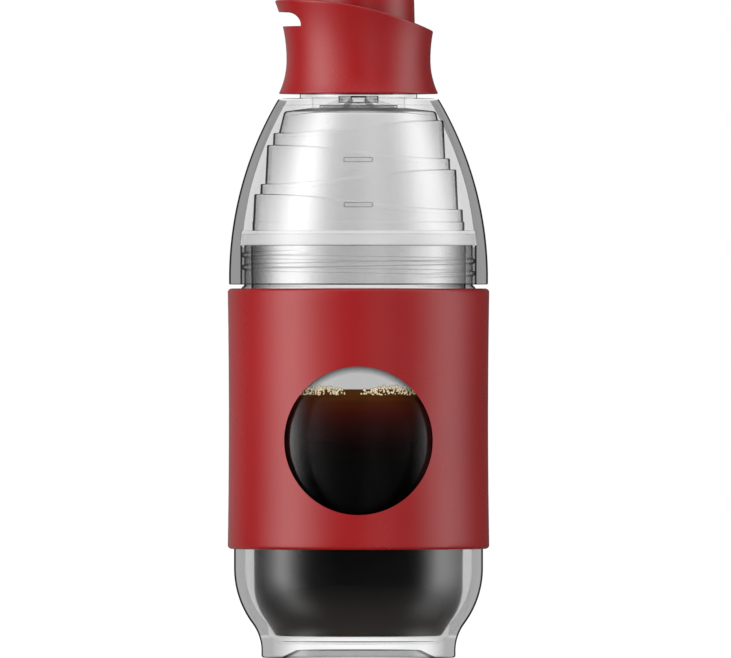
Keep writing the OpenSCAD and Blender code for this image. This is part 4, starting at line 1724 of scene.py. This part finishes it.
@dataclass
class Studio:
    """Camera, lamps, floor and white surroundings.

    The two sizes and places in pixels are those of the picture that the camera takes. A range of the
    surroundings is one of values of a coordinate of the unit vector that points there.
    """

    image_w: int = 731
    image_h: int = 658
    axis_px: float = 358.5
    ground_px: float = 657.5
    mm_per_px: float = 0.3
    lens: float = 1200.0
    sensor: float = 36.0
    clip: Pair = (0.05, 60.0)
    lamps: tuple[Lamp, ...] = (Lamp("key_panel", -28.0, 18.0, 3.0), Lamp("fill_panel", 40.0, 12.0, 0.45))
    panels: tuple[Glow, ...] = (Glow(-63.0, 25.0, 2.3), Glow(19.0, 17.0, 0.35), Glow(84.0, 26.0, 1.45))
    panel_ends: Pair = (0.5, 0.9)
    horizon: Pair = (-0.55, -0.1)
    below: float = 0.3
    front: float = 0.015
    overhead: float = 0.65
    overhead_from: Pair = (0.45, 0.95)
    back_left: float = 0.25
    back_right: float = 0.06
    back_from: Pair = (0.2, 0.8)
    back_turn: Pair = (-0.4, 0.4)
    floor_half: float = 4000.0
    floor_z: float = -0.02
    floor_gloss: Pair = (0.55, 0.7)
    floor_grain: float = 50.0
    floor_grey: float = 0.82
    floor_glow: float = 1.16
    floor_share: float = 0.8

    def build(self) -> None:
        """Set up the whole studio."""
        bpy.context.scene.view_settings.view_transform = "Standard"
        self.camera()
        for lamp in self.lamps:
            lamp.hang()
        self.surroundings()
        self.floor()

    def camera(self) -> None:
        """Place the camera straight in front, level with the middle of the picture."""
        data = bpy.data.cameras.new("front_camera")
        data.lens, data.sensor_width = self.lens, self.sensor
        data.clip_start, data.clip_end = self.clip
        metres = self.mm_per_px * MM
        camera = bpy.data.objects.new("front_camera", data)
        camera.location = ((self.image_w / 2 - self.axis_px) * metres,
                           -self.image_w * metres * self.lens / self.sensor,
                           (self.ground_px - self.image_h / 2) * metres)
        camera.rotation_euler = (math.pi / 2, 0, 0)
        bpy.context.scene.collection.objects.link(camera)
        bpy.context.scene.camera = camera

    def surroundings(self) -> None:
        """Make the world white when it is looked at straight, and a room with soft panels otherwise.

        A panel's light falls off from its middle as e to the minus squared azimuth over its width, and dims
        below the horizon.
        """
        world = bpy.data.worlds.new("white_studio")
        world.use_nodes = True
        bpy.context.scene.world = world
        wires = Wiring(world.node_tree)
        way = wires.add("SeparateXYZ", Vector=wires.add("TexCoord").outputs["Generated"]).outputs
        azimuth = wires.math("ARCTAN2", way["X"], wires.math("MULTIPLY", way["Y"], -1.0))
        upright = wires.remap(wires.math("ABSOLUTE", way["Z"]), *self.panel_ends, 1.0, 0.0)
        hung = wires.math("MULTIPLY", upright, wires.remap(way["Z"], *self.horizon, self.below, 1.0))
        light = wires.math("ADD", wires.remap(way["Z"], *self.overhead_from, 0.0, self.overhead), self.front)
        for panel in self.panels:
            off = wires.math("SUBTRACT", azimuth, math.radians(panel.azimuth))
            square = wires.math("POWER", wires.math("DIVIDE", off, math.radians(panel.width)), 2.0)
            bell = wires.math("EXPONENT", wires.math("MULTIPLY", square, -1.0))
            light = wires.math("MULTIPLY_ADD", wires.math("MULTIPLY", bell, panel.strength), hung, light)
        behind = wires.math("MULTIPLY", wires.remap(way["Y"], *self.back_from), upright)
        sides = wires.remap(way["X"], *self.back_turn, self.back_left, self.back_right)
        light = wires.math("MULTIPLY_ADD", behind, sides, light)
        straight = wires.seen_straight()
        strength = wires.math("MAXIMUM", straight, wires.math(
            "MULTIPLY", light, wires.math("SUBTRACT", 1.0, straight)))
        background = world.node_tree.nodes["Background"].inputs
        wires.feed(background["Color"], grey(1.0))
        wires.feed(background["Strength"], strength)

    def floor(self) -> None:
        """Lay a pale floor that is nearly white to the camera and still takes the bottle's shadow."""
        grid = np.linspace(-self.floor_half, self.floor_half, 3)
        x, y = np.meshgrid(grid, grid, indexing="ij")
        points = np.stack([x, y, np.full_like(x, self.floor_z)], axis=-1).reshape(-1, 3)
        piece = place_mesh("floor", points, grid_faces(3, 3, False, False).tolist())
        made = Material("pale_floor", *self.floor_gloss, self.floor_grain)
        made.put(Base_Color=grey(self.floor_grey), Specular_IOR_Level=0.0)
        share = made.wires.math("MULTIPLY", made.wires.seen_straight(), self.floor_share)
        glow = made.wires.add("Emission", Strength=self.floor_glow).outputs["Emission"]
        join = made.wires.add("MixShader", Fac=share)
        made.wires.feed(join.inputs[1], made.shader.outputs["BSDF"])
        made.wires.feed(join.inputs[2], glow)
        made.wires.feed(made.output.inputs["Surface"], join.outputs["Shader"])
        piece.data.materials.append(made.data)
        piece.visible_glossy = False


def main() -> None:
    """Build the bottle and its studio."""
    logging.basicConfig(level=logging.INFO, format="%(name)s %(message)s")
    finishes = Finishes()
    for part in (Flask(finishes), Brew(finishes), Dripper(finishes), Cone(finishes), Cap(finishes), Studio()):
        LOG.info("building %s", type(part).__name__)
        part.build()


if __name__ == "__main__":
    main()
